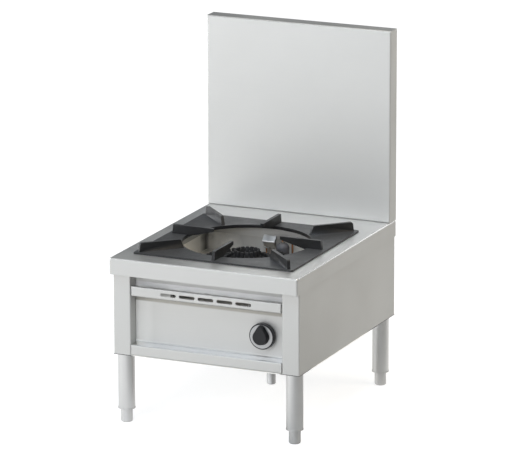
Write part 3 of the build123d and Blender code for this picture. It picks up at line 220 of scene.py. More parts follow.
class StoveColours(bpy.types.PropertyGroup):
    """Colours of the stove's finishes."""

    sheet: tint("Brushed sheet", "Stainless sheet of the cabinet and the backsplash", (0.49, 0.483, 0.462))
    # Upper faces: polished, and painted paler as light falling on them from above
    polish_and_top_light: tint("Polished sheet", "Upper faces of the sheet, polished by wiping", (0.80, 0.795, 0.785))
    # Low ledges: painted pale bluish as a reflection
    ledge_reflection: tint("Ledge reflection sheet", "Upper faces low on the cabinet, still bright", (0.86, 0.875, 0.9))
    # Painted light on the panel's recess above the tray's strip, where the strip and the apron cast shade
    clean: tint("Painted recess light", "Panel behind the upper edge of the tray's strip", (0.74, 0.735, 0.725))
    # Painted light on the panel's left end, where the left post casts shade
    end_light: tint("Painted end light", "Left end of the panel, paler than the rest of it", (0.686, 0.6762, 0.6468))
    # Painted shadow of the tray's strip on the panel below it
    strip_shadow: tint("Painted strip shadow", "Brown line on the panel under the tray's strip", (0.34, 0.325, 0.29))
    pan: tint("Pan sheet", "Plain sheet inside the well and of the tray", (0.88, 0.855, 0.80))
    tube: tint("Leg tube", "Polished stainless tube of the legs", (0.52, 0.515, 0.505))
    foot: tint("Foot steel", "Turned steel of the levelling feet", (0.52, 0.515, 0.505))
    fastener: tint("Fastener steel", "Plated screws, bolts and nuts", (0.50, 0.49, 0.46))
    pipe: tint("Pipe steel", "Zinc coated steel of the gas pipe", (0.55, 0.547, 0.54))
    grate: tint("Grate iron", "Blackened iron of the pot grate", (0.009, 0.009, 0.0092))
    # Upper faces of the grate: greyed by wear, and painted greyer as sheen
    worn_and_sheen: tint("Worn iron", "Greyed upper faces of the pot grate", (0.050, 0.050, 0.051))
    burner: tint("Burner iron", "Raw iron of the burner", (0.014, 0.014, 0.0145))
    hood: tint("Pilot steel", "Thin bright steel of the pilot's bracket and hood", (0.48, 0.475, 0.47))
    pilot: tint("Pilot body", "Darkened steel of the pilot burner", (0.075, 0.074, 0.08))
    brass: tint("Brass", "Brass of the tap and the nuts", (0.62, 0.42, 0.16))
    copper: tint("Copper", "Copper of the tubes and the lead", (0.52, 0.25, 0.13))
    knob: tint("Knob plastic", "Black moulded plastic of the knob", (0.008, 0.008, 0.009))
    ring: tint("Knob ring", "Bright plate on the knob's face", (0.34, 0.34, 0.34))
    scorch: tint("Scorch", "Brown that heat leaves on steel", (0.60, 0.53, 0.43))
    smoke: tint("Smoke", "Grey that the flame leaves on the well's back wall", (0.05, 0.05, 0.052))
    # Painted shade in the well's corners
    corner_shade: tint("Corner shade", "Black that gathers in the well's corners", (0.018, 0.018, 0.0184))
    tarnish: tint("Tarnish", "Dull brown that brass and copper take on", (0.16, 0.09, 0.05))
    floor: tint("Floor", "Matt floor of the stage", (0.51, 0.51, 0.51))


class StoveSizes(bpy.types.PropertyGroup):
    """Sizes of the pieces and marks that are made here."""

    stem_radius: length("Stem radius", "Radius of a foot's threaded stem", 8.0 * MM)
    stem_length: length("Stem length", "Length of a foot's threaded stem", 44.0 * MM)
    stem_pitch: length("Stem pitch", "Pitch of the stem's thread", 2.0 * MM)
    foot_round: length("Foot rounding", "Rounding of a foot's lower edge", 5.0 * MM)
    foot_edge: length("Foot edge", "Break of a foot's upper edge", 0.8 * MM)
    head_radius: length("Screw head radius", "Radius of the rear screws' heads", 4.0 * MM)
    shank_radius: length("Screw shank radius", "Radius of the rear screws' shanks", 2.0 * MM)
    shank_length: length("Screw shank length", "Length of the rear screws' shanks", 8.0 * MM)
    casting_edge: length("Casting edge", "Soft edge of the iron castings", 1.0 * MM)
    # Reach of the painted light on the panel's left end
    end_light_reach: length("Pale reach", "How far from its left end the panel is paler", 56.0 * MM)
    rail_skin: length("Rail skin", "Depth of the rail's face, which has the plain colour", 1.0 * MM)
    # Soft edge of the painted recess light and of the painted strip shadow
    mark_fade: length("Mark fade", "Soft edge of the clean band and the brown line", 3.0 * MM)
    # Reach of the band of painted light above and below the strip's upper edge
    recess_light_above: length("Clean above", "Reach of the clean band above the strip's upper edge", 6.0 * MM)
    recess_light_below: length("Clean below", "Reach of the clean band below the strip's upper edge", 13.0 * MM)
    # Place and width of the painted shadow under the strip
    strip_shadow_drop: length("Grime drop", "Distance from the strip down to the brown line", 9.0 * MM)
    strip_shadow_width: length("Grime width", "Width of the brown line", 9.0 * MM)
    pan_lip: length("Pan lip", "Width of the lip round the burner pan", 10.0 * MM)
    heat_reach: length("Heat reach", "How far from the burner's axis the sheet takes colour", 0.27)
    heat_share: part_of("Heat share", "Strength of the heat colour", 0.3)
    smoke_shift: part_of("Smoke shift", "Place of the smoke from the burner to the left wall", 0.3)
    smoke_reach: length("Smoke reach", "How far along the well's wall the sheet is smoked", 0.15)
    smoke_share: part_of("Smoke share", "Strength of the smoke", 0.56)
    # Reach and strength of the painted shade in the well's corners
    side_shade: length("Side soot", "Reach of the soot along the well's side walls", 48.0 * MM)
    back_shade: length("Back soot", "Reach of the soot along the well's back and front walls", 10.0 * MM)
    corner_shade_share: part_of("Soot share", "Strength of the soot", 0.95)


class StoveStage(bpy.types.PropertyGroup):
    """Light and camera of the stage."""

    world: tint("Room", "Light that comes from all sides", (0.145, 0.156, 0.166))
    floor_half: length("Floor half", "Half of the floor's side", 60.0)
    floor_drop: length("Floor drop", "Gap between the soles and the floor", 0.5 * MM)
    white: glow("White floor", "Brightness added to the floor where it is seen", 0.70)
    far_white: glow("Far white", "Brightness added to the floor far from the stove", 0.95)
    near_reach: length("Near reach", "Distance at which the floor starts to get whiter", 1.5)
    far_reach: length("Far reach", "Distance from which the floor is whitest", 5.0)
    flag_azimuth: turn("Flag azimuth", "Side where a dark flag dims the floor in reflections", 66.0)
    flag_share: part_of("Flag share", "Share of the floor's brightness left by the flag", 0.12)
    azimuth: turn("Azimuth", "Camera's turn to the right of the front", 24.129)
    elevation: turn("Elevation", "Camera's height above the horizon", 14.690)
    roll: turn("Roll", "Camera's lean", -0.133)
    distance: length("Distance", "Camera's distance from its target", 13.336)
    target: place("Target", "Point that the camera looks at", (-0.00733, 0.0, 0.54017))
    focal: FloatProperty(
        name="Focal length",
        description="Focal length in the photograph's pixels",
        subtype="PIXEL",
        default=4504.3,
    )


def put(tree, kind, settings=None, **inputs):
    """A node of that kind, whose inputs are numbers or the sockets they are linked from."""
    node = tree.nodes.new(kind)
    for name, value in (settings or {}).items():
        setattr(node, name, value)
    for label, value in inputs.items():
        feed(tree, node.inputs[label.replace("_", " ")], value)
    return node


def feed(tree, socket, value):
    """Links the value to the socket, or sets it there."""
    if isinstance(value, bpy.types.NodeSocket):
        tree.links.new(value, socket)
    else:
        socket.default_value = value


def reckon(tree, operation, first, second):
    """Output of a Math node."""
    node = put(tree, "ShaderNodeMath", {"operation": operation})
    feed(tree, node.inputs[0], first)
    feed(tree, node.inputs[1], second)
    return node.outputs[0]


def compare(tree, operation, first, second, output):
    """Output of a Vector Math node with two vectors."""
    node = put(tree, "ShaderNodeVectorMath", {"operation": operation})
    feed(tree, node.inputs[0], first)
    feed(tree, node.inputs[1], second)
    return node.outputs[output]


def spread(tree, value, span, ends=RISE):
    """Output of a Map Range node that takes the span to the ends and is held within them."""
    node = put(
        tree,
        "ShaderNodeMapRange",
        Value=value,
        From_Min=span[0],
        From_Max=span[1],
        To_Min=ends[0],
        To_Max=ends[1],
    )
    return node.outputs[0]


def mingle(tree, factor, first, second):
    """Colour between two colours."""
    node = put(tree, "ShaderNodeMix", {"data_type": "RGBA"})
    colours = [socket for socket in node.inputs if socket.type == "RGBA"]
    feed(tree, node.inputs[0], factor)
    feed(tree, colours[0], first)
    feed(tree, colours[1], second)
    return next(socket for socket in node.outputs if socket.type == "RGBA")


def shade(colour, share=1.0):
    """The colour as a socket takes it, made darker or paler by the share."""
    return (*(min(1.0, channel * share) for channel in colour), 1.0)


def noise(tree, vector, scale, detail, roughness=0.5):
    """Value of a Noise texture."""
    node = put(
        tree, "ShaderNodeTexNoise", Vector=vector, Scale=scale, Detail=detail, Roughness=roughness
    )
    return node.outputs["Fac"]


def along_axis(tree, vector):
    """Parts of a vector along X, Y and Z."""
    return put(tree, "ShaderNodeSeparateXYZ", Vector=vector).outputs


def face_normal(tree):
    """Direction that the surface faces."""
    return put(tree, "ShaderNodeNewGeometry").outputs["Normal"]


def node_group(name, inputs, outputs, fill):
    """Shader node group of that name, made the first time that it is asked for."""
    group = bpy.data.node_groups.get(name)
    if group is None:
        group = bpy.data.node_groups.new(name, "ShaderNodeTree")
        for label, kind in inputs.items():
            group.interface.new_socket(name=label, in_out="INPUT", socket_type=kind)
        for label, kind in outputs.items():
            group.interface.new_socket(name=label, in_out="OUTPUT", socket_type=kind)
        fill(group, group.nodes.new("NodeGroupInput").outputs, group.nodes.new("NodeGroupOutput").inputs)
    return group


def brushed_grain():
    """Streaks of a brushed surface, drawn out along its grain, and the cloudy marks of handling."""

    def fill(group, given, result):
        stretched = compare(group, "MULTIPLY", given["Position"], given["Stretch"], "Vector")
        streaks = noise(group, stretched, scale=1.0, detail=4.0, roughness=0.65)
        clouds = noise(group, given["Position"], scale=6.0, detail=3.0, roughness=0.6)
        feed(group, result["Streaks"], streaks)
        feed(group, result["Clouds"], spread(group, clouds, span=(0.35, 0.65)))

    return node_group(
        "Brushed grain",
        {"Position": "NodeSocketVector", "Stretch": "NodeSocketVector"},
        {"Streaks": "NodeSocketFloat", "Clouds": "NodeSocketFloat"},
        fill,
    )


def cast_skin():
    """Sandy skin of a casting: fine grit over broad swells, and the places where the blacking is thin."""

    def fill(group, given, result):
        swell_weight = 1.5
        grit = noise(group, given["Position"], given["Grain"], detail=4.0, roughness=0.7)
        swell = noise(group, given["Position"], scale=45.0, detail=2.0)
        thin = noise(group, given["Position"], scale=16.0, detail=5.0, roughness=0.65)
        height = reckon(group, "ADD", grit, reckon(group, "MULTIPLY", swell, swell_weight))
        feed(group, result["Height"], height)
        feed(group, result["Thin"], spread(group, thin, span=(0.42, 0.68)))

    return node_group(
        "Cast skin",
        {"Position": "NodeSocketVector", "Grain": "NodeSocketFloat"},
        {"Height": "NodeSocketFloat", "Thin": "NodeSocketFloat"},
        fill,
    )


def heat_mark():
    """Mask that fades with the distance from a point, with an uneven edge."""

    def fill(group, given, result):
        away = compare(group, "DISTANCE", given["Position"], given["Centre"], "Value")
        ripple = noise(group, given["Position"], scale=11.0, detail=4.0, roughness=0.6)
        uneven = spread(group, ripple, span=(0.3, 0.7), ends=(0.6, 1.4))
        share = reckon(group, "DIVIDE", reckon(group, "MULTIPLY", away, uneven), given["Reach"])
        feed(group, result["Mask"], spread(group, share, span=(0.45, 1.0), ends=FALL))

    return node_group(
        "Heat mark",
        {"Position": "NodeSocketVector", "Centre": "NodeSocketVector", "Reach": "NodeSocketFloat"},
        {"Mask": "NodeSocketFloat"},
        fill,
    )


def painted_corner_shade():
    """Mask of painted shade in a box's upright corners, fading along its walls, with a reach for each pair
    of walls.
    """
    vectors = ("Position", "Normal", "Low", "High")
    reaches = ("Side reach", "Back reach")

    def fill(group, given, result):
        spot, face, low, high = (along_axis(group, given[name]) for name in vectors)

        def fade(axis, across, reach):
            left = reckon(group, "SUBTRACT", spot[axis], low[axis])
            right = reckon(group, "SUBTRACT", high[axis], spot[axis])
            near = spread(group, reckon(group, "MINIMUM", left, right), (0.0, reach), FALL)
            return reckon(group, "MULTIPLY", reckon(group, "ABSOLUTE", face[across], 0.0), near)

        side = fade("Y", "X", given["Side reach"])
        back = fade("X", "Y", given["Back reach"])
        feed(group, result["Mask"], reckon(group, "MAXIMUM", side, back))

    return node_group(
        "Painted corner shade",
        dict.fromkeys(vectors, "NodeSocketVector") | dict.fromkeys(reaches, "NodeSocketFloat"),
        {"Mask": "NodeSocketFloat"},
        fill,
    )


def group_node(tree, group, **inputs):
    """The group placed in a material, with its inputs set."""
    return put(tree, "ShaderNodeGroup", {"node_tree": group}, **inputs).outputs


def new_finish(name):
    """New material with its tree, its shader and the object's own coordinates."""
    material = bpy.data.materials.new(name)
    material.use_nodes = True
    tree = material.node_tree
    return material, tree, tree.nodes["Principled BSDF"], put(tree, "ShaderNodeTexCoord").outputs["Object"]


def raise_surface(tree, shader, height, depth):
    """Feeds the height to the shader's normal through a Bump node."""
    bump = put(tree, "ShaderNodeBump", Height=height, Distance=depth, Strength=1.0)
    feed(tree, shader.inputs["Normal"], bump.outputs[0])


def facing_up(tree):
    """Two masks: faces that look up, and the bends at their sides, which are made glossier and painted paler
    as a highlight.
    """
    parts = along_axis(tree, face_normal(tree))
    sideways = spread(tree, reckon(tree, "ABSOLUTE", parts["X"], 0.0), SIDEWAYS)
    # Side bends of upper faces: smoother, and painted paler as a highlight
    rubbed = reckon(tree, "MULTIPLY", sideways, spread(tree, parts["Z"], RISING))
    return spread(tree, parts["Z"], LOOKING_UP), rubbed


def polish_and_paint_tops(tree, position, base, rough, polish_and_top_light, ledge_reflection):
    """Colour and roughness of upper faces: polished, and painted paler as light from above; side bends
    painted paler as a highlight; low ledges glossier and painted with a bluish reflection. Also the upper
    faces' mask.
    """
    upper, rubbed = facing_up(tree)
    upper = reckon(tree, "MAXIMUM", upper, rubbed)
    low_down = spread(tree, along_axis(tree, position)["Z"], LEDGE_SPAN, FALL)
    low_ledge = reckon(tree, "MULTIPLY", upper, low_down)
    # Upper faces and side bends: painted paler, as top light and as a highlight
    base = mingle(tree, upper, base, shade(polish_and_top_light))
    # Low ledges: painted pale bluish as a reflection
    base = mingle(tree, low_ledge, base, shade(ledge_reflection))
    for mask, gloss in ((upper, POLISH_GLOSS), (rubbed, RUBBED_GLOSS), (low_ledge, LEDGE_GLOSS)):
        rough = reckon(tree, "SUBTRACT", rough, reckon(tree, "MULTIPLY", mask, gloss))
    return base, rough, upper


def soft_band(tree, position, axis, low, high, fade):
    """Mask of the places between two ends along an axis, with soft edges."""
    spot = along_axis(tree, position)[axis]
    after = spread(tree, spot, (low - fade, low))
    return reckon(tree, "MULTIPLY", after, spread(tree, spot, (high, high + fade), FALL))


def brushed_finish(
    name,
    colour,
    stretch,
    roughness,
    metal=1.0,
    depth=BRUSHED_RELIEF,
    polish_and_top_light=None,
    bands=(),
    heat=(),
    corner_shade=None,
):
    """Brushed steel: streaks along the grain in colour, roughness and relief, and clouds of handling.

    The polish and top light is a pair of colours: of upper faces, polished and painted paler as light from
    above, and of low ledges, painted with a bluish reflection.
    A band is an axis, two ends, a fade and a colour.
    A heat mark is a centre, a reach, a share and a colour.
    Corner shade, painted shade in the corners, is two corners of a box, a reach for each pair of its walls,
    a share and a colour.
    """
    material, tree, shader, position = new_finish(name)
    grain = group_node(tree, brushed_grain(), Position=position, Stretch=stretch)
    base = mingle(tree, grain["Streaks"], *(shade(colour, share) for share in STREAK_SHADES))
    ends = (roughness - STREAK_ROUGH, roughness + STREAK_ROUGH)
    streaks = spread(tree, grain["Streaks"], STREAK_SPAN, ends)
    rough = reckon(tree, "ADD", streaks, spread(tree, grain["Clouds"], RISE, CLOUD_ROUGH))
    shader.inputs["Metallic"].default_value = metal
    if polish_and_top_light:
        base, rough, upper = polish_and_paint_tops(tree, position, base, rough, *polish_and_top_light)
        feed(tree, shader.inputs["Metallic"], spread(tree, upper, RISE, (metal, 1.0)))
    for axis, low, high, fade, mark in bands:
        base = mingle(tree, soft_band(tree, position, axis, low, high, fade), base, shade(mark))
    for centre, reach, share, burnt in heat:
        mask = group_node(tree, heat_mark(), Position=position, Centre=centre, Reach=reach)["Mask"]
        base = mingle(tree, reckon(tree, "MULTIPLY", mask, share), base, shade(burnt))
        rough = reckon(tree, "ADD", rough, reckon(tree, "MULTIPLY", mask, HEAT_ROUGH))
    # Painted shade in the box's upright corners
    if corner_shade:
        low, high, side_reach, back_reach, share, black = corner_shade
        mask = group_node(
            tree,
            painted_corner_shade(),
            Position=position,
            Normal=face_normal(tree),
            Low=low,
            High=high,
            Side_reach=side_reach,
            Back_reach=back_reach,
        )["Mask"]
        base = mingle(tree, reckon(tree, "MULTIPLY", mask, share), base, shade(black))
    feed(tree, shader.inputs["Base Color"], base)
    feed(tree, shader.inputs["Roughness"], rough)
    raise_surface(tree, shader, grain["Streaks"], depth)
    return material


def draw_out(material, share):
    """Draws the gloss of a turned surface out along its upright axis."""
    tree = material.node_tree
    shader = tree.nodes["Principled BSDF"]
    round_axis = put(tree, "ShaderNodeTangent", {"direction_type": "RADIAL", "axis": "Z"})
    feed(tree, shader.inputs["Tangent"], round_axis.outputs[0])
    shader.inputs["Anisotropic"].default_value = share
    shader.inputs["Anisotropic Rotation"].default_value = QUARTER_TURN


def iron_finish(name, colour, worn_and_sheen, grain, roughness, depth):
    """Cast iron: sandy relief, thin blacking that shows greyer and glossier, upper faces greyed by wear and
    painted greyer as sheen.
    """
    material, tree, shader, position = new_finish(name)
    shader.inputs["Specular IOR Level"].default_value = IRON_SHINE
    skin = group_node(tree, cast_skin(), Position=position, Grain=grain)
    black = mingle(tree, skin["Thin"], *(shade(colour, share) for share in IRON_SHADES))
    rough = spread(tree, skin["Thin"], RISE, [roughness + change for change in IRON_ROUGH])
    # Upper faces take the grey of wear and of painted sheen
    feed(tree, shader.inputs["Base Color"], mingle(tree, facing_up(tree)[0], black, shade(worn_and_sheen)))
    feed(tree, shader.inputs["Roughness"], rough)
    raise_surface(tree, shader, skin["Height"], depth)
    return material


def tarnished_finish(name, colour, tarnish, roughness):
    """Brass or copper: bare metal with brown patches that are duller than the rest."""
    material, tree, shader, position = new_finish(name)
    skin = group_node(tree, cast_skin(), Position=position, Grain=TARNISH_GRAIN)
    patches = reckon(tree, "MULTIPLY", skin["Thin"], TARNISH_SHARE)
    rough = spread(tree, skin["Thin"], RISE, (roughness, roughness + TARNISH_ROUGH))
    feed(tree, shader.inputs["Base Color"], mingle(tree, patches, shade(colour), shade(tarnish)))
    feed(tree, shader.inputs["Roughness"], rough)
    shader.inputs["Metallic"].default_value = 1.0
    raise_surface(tree, shader, skin["Height"], TARNISH_RELIEF)
    return material


def moulded_finish(name, colour, roughness):
    """Moulded plastic: a fine even texture, rubbed a little smoother in clouds."""
    material, tree, shader, position = new_finish(name)
    shader.inputs["Specular IOR Level"].default_value = PLASTIC_SHINE
    skin = group_node(tree, cast_skin(), Position=position, Grain=PLASTIC_GRAIN)
    base = mingle(tree, skin["Thin"], *(shade(colour, share) for share in PLASTIC_SHADES))
    rough = spread(tree, skin["Thin"], RISE, [roughness + change for change in PLASTIC_ROUGH])
    feed(tree, shader.inputs["Base Color"], base)
    feed(tree, shader.inputs["Roughness"], rough)
    raise_surface(tree, shader, skin["Height"], PLASTIC_RELIEF)
    return material


def dress(material, *names):
    """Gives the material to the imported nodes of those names."""
    for name in names:
        slots = frame["nodes"][name].data.materials
        slots.clear()
        slots.append(material)


def nodes_of(*slots):
    """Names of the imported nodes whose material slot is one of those."""
    return [row["node"] for row in frame["record"]["subparts"] if row["material_slot"] in slots]


def soften_edges(node, radius):
    """Rounds the sharp edges of a casting by modifiers, without a change to its mesh."""
    node.modifiers.new("joined", "WELD").merge_threshold = WELD_GAP
    edge = node.modifiers.new("soft_edge", "BEVEL")
    edge.width = radius
    edge.segments = EDGE_STEPS
    edge.limit_method = "ANGLE"
    edge.angle_limit = SOFT_ANGLE


def closed_rings(rings):
    """Points, quads and triangles of a skin through rings of points.

    Ring i is joined to ring i + 1, and each end is drawn to the mean point of its ring.
    """
    count, around = rings.shape[:2]
    points = np.concatenate([rings.reshape(-1, 3), rings[[0, -1]].mean(axis=1)])
    first = np.arange(around)
    second = np.roll(first, -1)
    lower = np.arange(count - 1)[:, None] * around
    upper = lower + around
    quads = np.stack([lower + first, lower + second, upper + second, upper + first], axis=-1)
    last = (count - 1) * around
    ends = [
        np.stack([second, first, np.full(around, count * around)], axis=-1),
        np.stack([first + last, second + last, np.full(around, count * around + 1)], axis=-1),
    ]
    return points, quads.reshape(-1, 4), np.concatenate(ends)


def make_piece(name, points, quads, triangles, material, body, slot, replaced):
    """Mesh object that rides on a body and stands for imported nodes."""
    mesh = bpy.data.meshes.new(name)
    mesh.from_pydata(points.tolist(), [], quads.tolist() + triangles.tolist())
    mesh.shade_smooth()
    mesh.set_sharp_from_angle(angle=SHARP_ANGLE)
    mesh.materials.append(material)
    piece = bpy.data.objects.new(name, mesh)
    bpy.context.scene.collection.objects.link(piece)
    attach(piece, body)
    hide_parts(replaced)


def foot_rings(low, high, sizes):
    """Levelling foot about its upright axis.

    A flat sole, a quarter round, a plain side, a broken edge, and a stem whose radius falls from crest to
    root and back once per pitch. The phase shifts with the angle, so that the thread climbs one pitch
    per turn.
    """
    turns = np.linspace(0.0, 2.0 * np.pi, AROUND, endpoint=False)
    side = (high.x - low.x) / 2.0
    sole = side - sizes.foot_round
    shoulder = high.z - sizes.stem_length
    brink = shoulder - sizes.foot_edge
    arc = np.linspace(-np.pi / 2.0, 0.0, ROUND_STEPS)
    pad_radius = np.concatenate([sole + sizes.foot_round * np.cos(arc), [side, side - sizes.foot_edge]])
    pad_height = np.concatenate([low.z + sizes.foot_round * (1.0 + np.sin(arc)), [brink, shoulder]])
    rise = np.arange(0.0, sizes.stem_length, sizes.stem_pitch / RINGS_PER_PITCH)
    phase = rise[:, None] / sizes.stem_pitch - turns / (2.0 * np.pi)
    groove = np.abs(2.0 * (phase % 1.0) - 1.0)
    ease = np.clip(np.minimum(rise, sizes.stem_length - rise) / sizes.stem_pitch, 0.0, 1.0)[:, None]
    stem = sizes.stem_radius - THREAD_DEPTH * sizes.stem_pitch * groove * ease
    tip = np.full((1, AROUND), sizes.stem_radius * STEM_TIP)
    radius = np.concatenate([np.repeat(pad_radius[:, None], AROUND, axis=1), stem, tip])
    height = np.concatenate([pad_height, shoulder + rise, [high.z]])[:, None]
    middle = (low + high) / 2.0
    across = middle.x + radius * np.cos(turns)
    along = middle.y + radius * np.sin(turns)
    return np.stack([across, along, np.broadcast_to(height, radius.shape)], axis=-1)


def screw_rings(sizes, proud):
    """Pan head screw about the Y axis with its seat at zero.

    A plain shank, a flat underside, an upright rim and a domed top. The top sinks by a cross recess, whose
    depth falls off with the distance from the nearer of two crossed lines.
    """
    turns = np.linspace(0.0, 2.0 * np.pi, AROUND, endpoint=False)
    ring = np.ones(AROUND)
    head = sizes.head_radius
    share = np.linspace(1.0, TOP_MIDDLE, TOP_RINGS)[:, None]
    across = head * share * np.cos(turns)
    along = head * share * np.sin(turns)
    dome = proud * (DOME_FOOT + DOME_RISE * np.sqrt(1.0 - DOME_BEND * share**2))
    slot_width = RECESS_WIDTH * head
    nearer = np.minimum(np.abs(across), np.abs(along))
    inside = np.clip((slot_width - nearer) / (RECESS_WALL * slot_width), 0.0, 1.0)
    reach = np.clip((RECESS_REACH - share) / RECESS_END, 0.0, 1.0)
    top = dome - RECESS_DEPTH * proud * inside * reach
    shank_radius = np.array(SHANK_RADII)[:, None] * sizes.shank_radius * ring
    shank_height = np.array(SHANK_HEIGHTS)[:, None] * sizes.shank_length * ring
    rim_radius = head * np.ones((2, AROUND))
    rim_height = np.array([0.0, RIM_HEIGHT * proud])[:, None] * ring
    radius = np.concatenate([shank_radius, rim_radius, share * head * ring])
    depth = np.concatenate([shank_height, rim_height, top])
    return np.stack([radius * np.sin(turns), depth, radius * np.cos(turns)], axis=-1)


def repeat_piece(points, quads, triangles, places):
    """The same skin at each of the places."""
    places = np.asarray(places)
    shift = np.arange(len(places))[:, None, None] * len(points)
    return (
        (points[None] + places[:, None]).reshape(-1, 3),
        (quads[None] + shift).reshape(-1, 4),
        (triangles[None] + shift).reshape(-1, 3),
    )


class STOVE_OT_dress_cabinet(bpy.types.Operator):
    """Brushed sheet of the cabinet, with the grain along each sheet."""

    bl_idname = "stove.dress_cabinet"
    bl_label = "Cabinet sheet"

    def execute(self, context):
        colours = context.scene.stove_colours
        across, upright, along, panel = (
            brushed_finish(
                f"sheet_{way}",
                colours.sheet,
                stretch,
                roughness=0.5,
                metal=0.6,
                polish_and_top_light=(colours.polish_and_top_light, colours.ledge_reflection),
                bands=bands,
            )
            for way, stretch, bands in (
                ("across", GRAIN_ACROSS, ()),
                ("upright", GRAIN_UPRIGHT, ()),
                ("along", GRAIN_ALONG, ()),
                ("panel", GRAIN_ACROSS, self.panel_marks(colours, context.scene.stove_sizes)),
            )
        )
        dress(across, *nodes_of("brushed_sheet"))
        dress(along, "left_side_panel", "right_side_panel", "base_panel")
        dress(upright, "back_panel", "backsplash_cover")
        dress(panel, "control_panel")
        return {"FINISHED"}

    def panel_marks(self, colours, sizes):
        """Bands of the panel: painted light on its left end, the rail's plain face, painted light above the
        strip's upper edge and a painted shadow below the strip.
        """
        low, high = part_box("tray_strip")
        panel_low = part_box("control_panel")[0]
        rail_back = panel_low.y + sizes.rail_skin
        strip_shadow = low.z - sizes.strip_shadow_drop
        fade = sizes.mark_fade
        return (
            # Painted light on the panel's left end, fading to the right
            ("X", panel_low.x, low.x, sizes.end_light_reach, colours.end_light),
            # Plain sheet colour on the rail's face, kept free of the painted end light
            ("Y", panel_low.y, rail_back, sizes.rail_skin, colours.sheet),
            # Painted light in the recess above the strip
            ("Z", high.z - sizes.recess_light_below, high.z + sizes.recess_light_above, fade, colours.clean),
            # Painted shadow under the strip
            ("Z", strip_shadow - sizes.strip_shadow_width, strip_shadow, fade, colours.strip_shadow),
        )


class STOVE_OT_dress_well(bpy.types.Operator):
    """Plain sheet inside the well, with heat colour, a smoked back wall and painted shade in the corners."""

    bl_idname = "stove.dress_well"
    bl_label = "Well and tray"

    def execute(self, context):
        colours = context.scene.stove_colours
        sizes = context.scene.stove_sizes
        lip = Vector((1.0, 1.0, 0.0)) * sizes.pan_lip
        low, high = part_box("burner_pan")
        low, high = low + lip, high - lip
        burner_low, burner_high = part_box("burner_body")
        burner = (burner_low + burner_high) / 2.0
        smoke_side = burner.x + sizes.smoke_shift * (low.x - burner.x)
        smoked = Vector((smoke_side, high.y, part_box("pilot_hood")[0].z))
        pan = brushed_finish(
            "pan_sheet",
            colours.pan,
            GRAIN_PAN,
            roughness=0.55,
            metal=0.1,
            heat=(
                (burner, sizes.heat_reach, sizes.heat_share, colours.scorch),
                (smoked, sizes.smoke_reach, sizes.smoke_share, colours.smoke),
            ),
            corner_shade=(low, high, sizes.side_shade, sizes.back_shade, sizes.corner_shade_share, colours.corner_shade),
        )
        dress(pan, *nodes_of("pan_sheet"))
        return {"FINISHED"}


class STOVE_OT_dress_legs(bpy.types.Operator):
    """Polished leg tubes with fine lines round them."""

    bl_idname = "stove.dress_legs"
    bl_label = "Legs"

    def execute(self, context):
        colours = context.scene.stove_colours
        tube = brushed_finish("leg_tube", colours.tube, GRAIN_TURNED, roughness=0.36, depth=TURNED_RELIEF)
        draw_out(tube, share=0.2)
        dress(tube, *nodes_of("leg_tube"))
        return {"FINISHED"}


class STOVE_OT_make_feet(bpy.types.Operator):
    """Turned levelling feet with threaded stems."""

    bl_idname = "stove.make_feet"
    bl_label = "Levelling feet"

    def execute(self, context):
        colours = context.scene.stove_colours
        steel = brushed_finish("foot_steel", colours.foot, GRAIN_TURNED, roughness=0.45, depth=TURNED_RELIEF)
        draw_out(steel, share=0.5)
        dress(steel, "leg_plugs")
        for foot in sorted(body for body in frame["bodies"] if body.startswith("foot_")):
            rings = foot_rings(*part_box(foot), context.scene.stove_sizes)
            make_piece(f"turned_{foot}", *closed_rings(rings), steel, foot, "foot_steel", foot)
        return {"FINISHED"}


class STOVE_OT_dress_castings(bpy.types.Operator):
    """Iron of the pot grate and the burner."""

    bl_idname = "stove.dress_castings"
    bl_label = "Grate and burner"

    def execute(self, context):
        colours = context.scene.stove_colours
        grate = iron_finish(
            "grate_iron", colours.grate, colours.worn_and_sheen, grain=700.0, roughness=0.36, depth=0.1 * MM
        )
        burner = iron_finish(
            "burner_iron", colours.burner, colours.burner, grain=900.0, roughness=0.6, depth=0.2 * MM
        )
        dress(grate, *nodes_of("grate_iron"))
        dress(burner, *nodes_of("burner_iron"))
        for name in nodes_of("grate_iron", "burner_iron"):
            soften_edges(frame["nodes"][name], context.scene.stove_sizes.casting_edge)
        return {"FINISHED"}


class STOVE_OT_dress_pilot(bpy.types.Operator):
    """Steel of the pilot set."""

    bl_idname = "stove.dress_pilot"
    bl_label = "Pilot"

    def execute(self, context):
        colours = context.scene.stove_colours
        hood = brushed_finish("pilot_steel", colours.hood, GRAIN_HOOD, roughness=0.4)
        body = brushed_finish("pilot_body", colours.pilot, GRAIN_PILOT, roughness=0.6, metal=0.2)
        dress(hood, *nodes_of("pilot_steel"))
        dress(body, *nodes_of("pilot_body"))
        return {"FINISHED"}


class STOVE_OT_dress_gas(bpy.types.Operator):
    """Brass, copper and coated steel of the gas line."""

    bl_idname = "stove.dress_gas"
    bl_label = "Gas line"

    def execute(self, context):
        colours = context.scene.stove_colours
        brass = tarnished_finish("brass", colours.brass, colours.tarnish, roughness=0.28)
        copper = tarnished_finish("copper", colours.copper, colours.tarnish, roughness=0.3)
        pipe = brushed_finish("pipe_steel", colours.pipe, GRAIN_TURNED, roughness=0.45, depth=TURNED_RELIEF)
        draw_out(pipe, share=0.5)
        dress(brass, *nodes_of("brass"))
        dress(copper, *nodes_of("copper"))
        dress(pipe, *nodes_of("pipe_steel"))
        return {"FINISHED"}


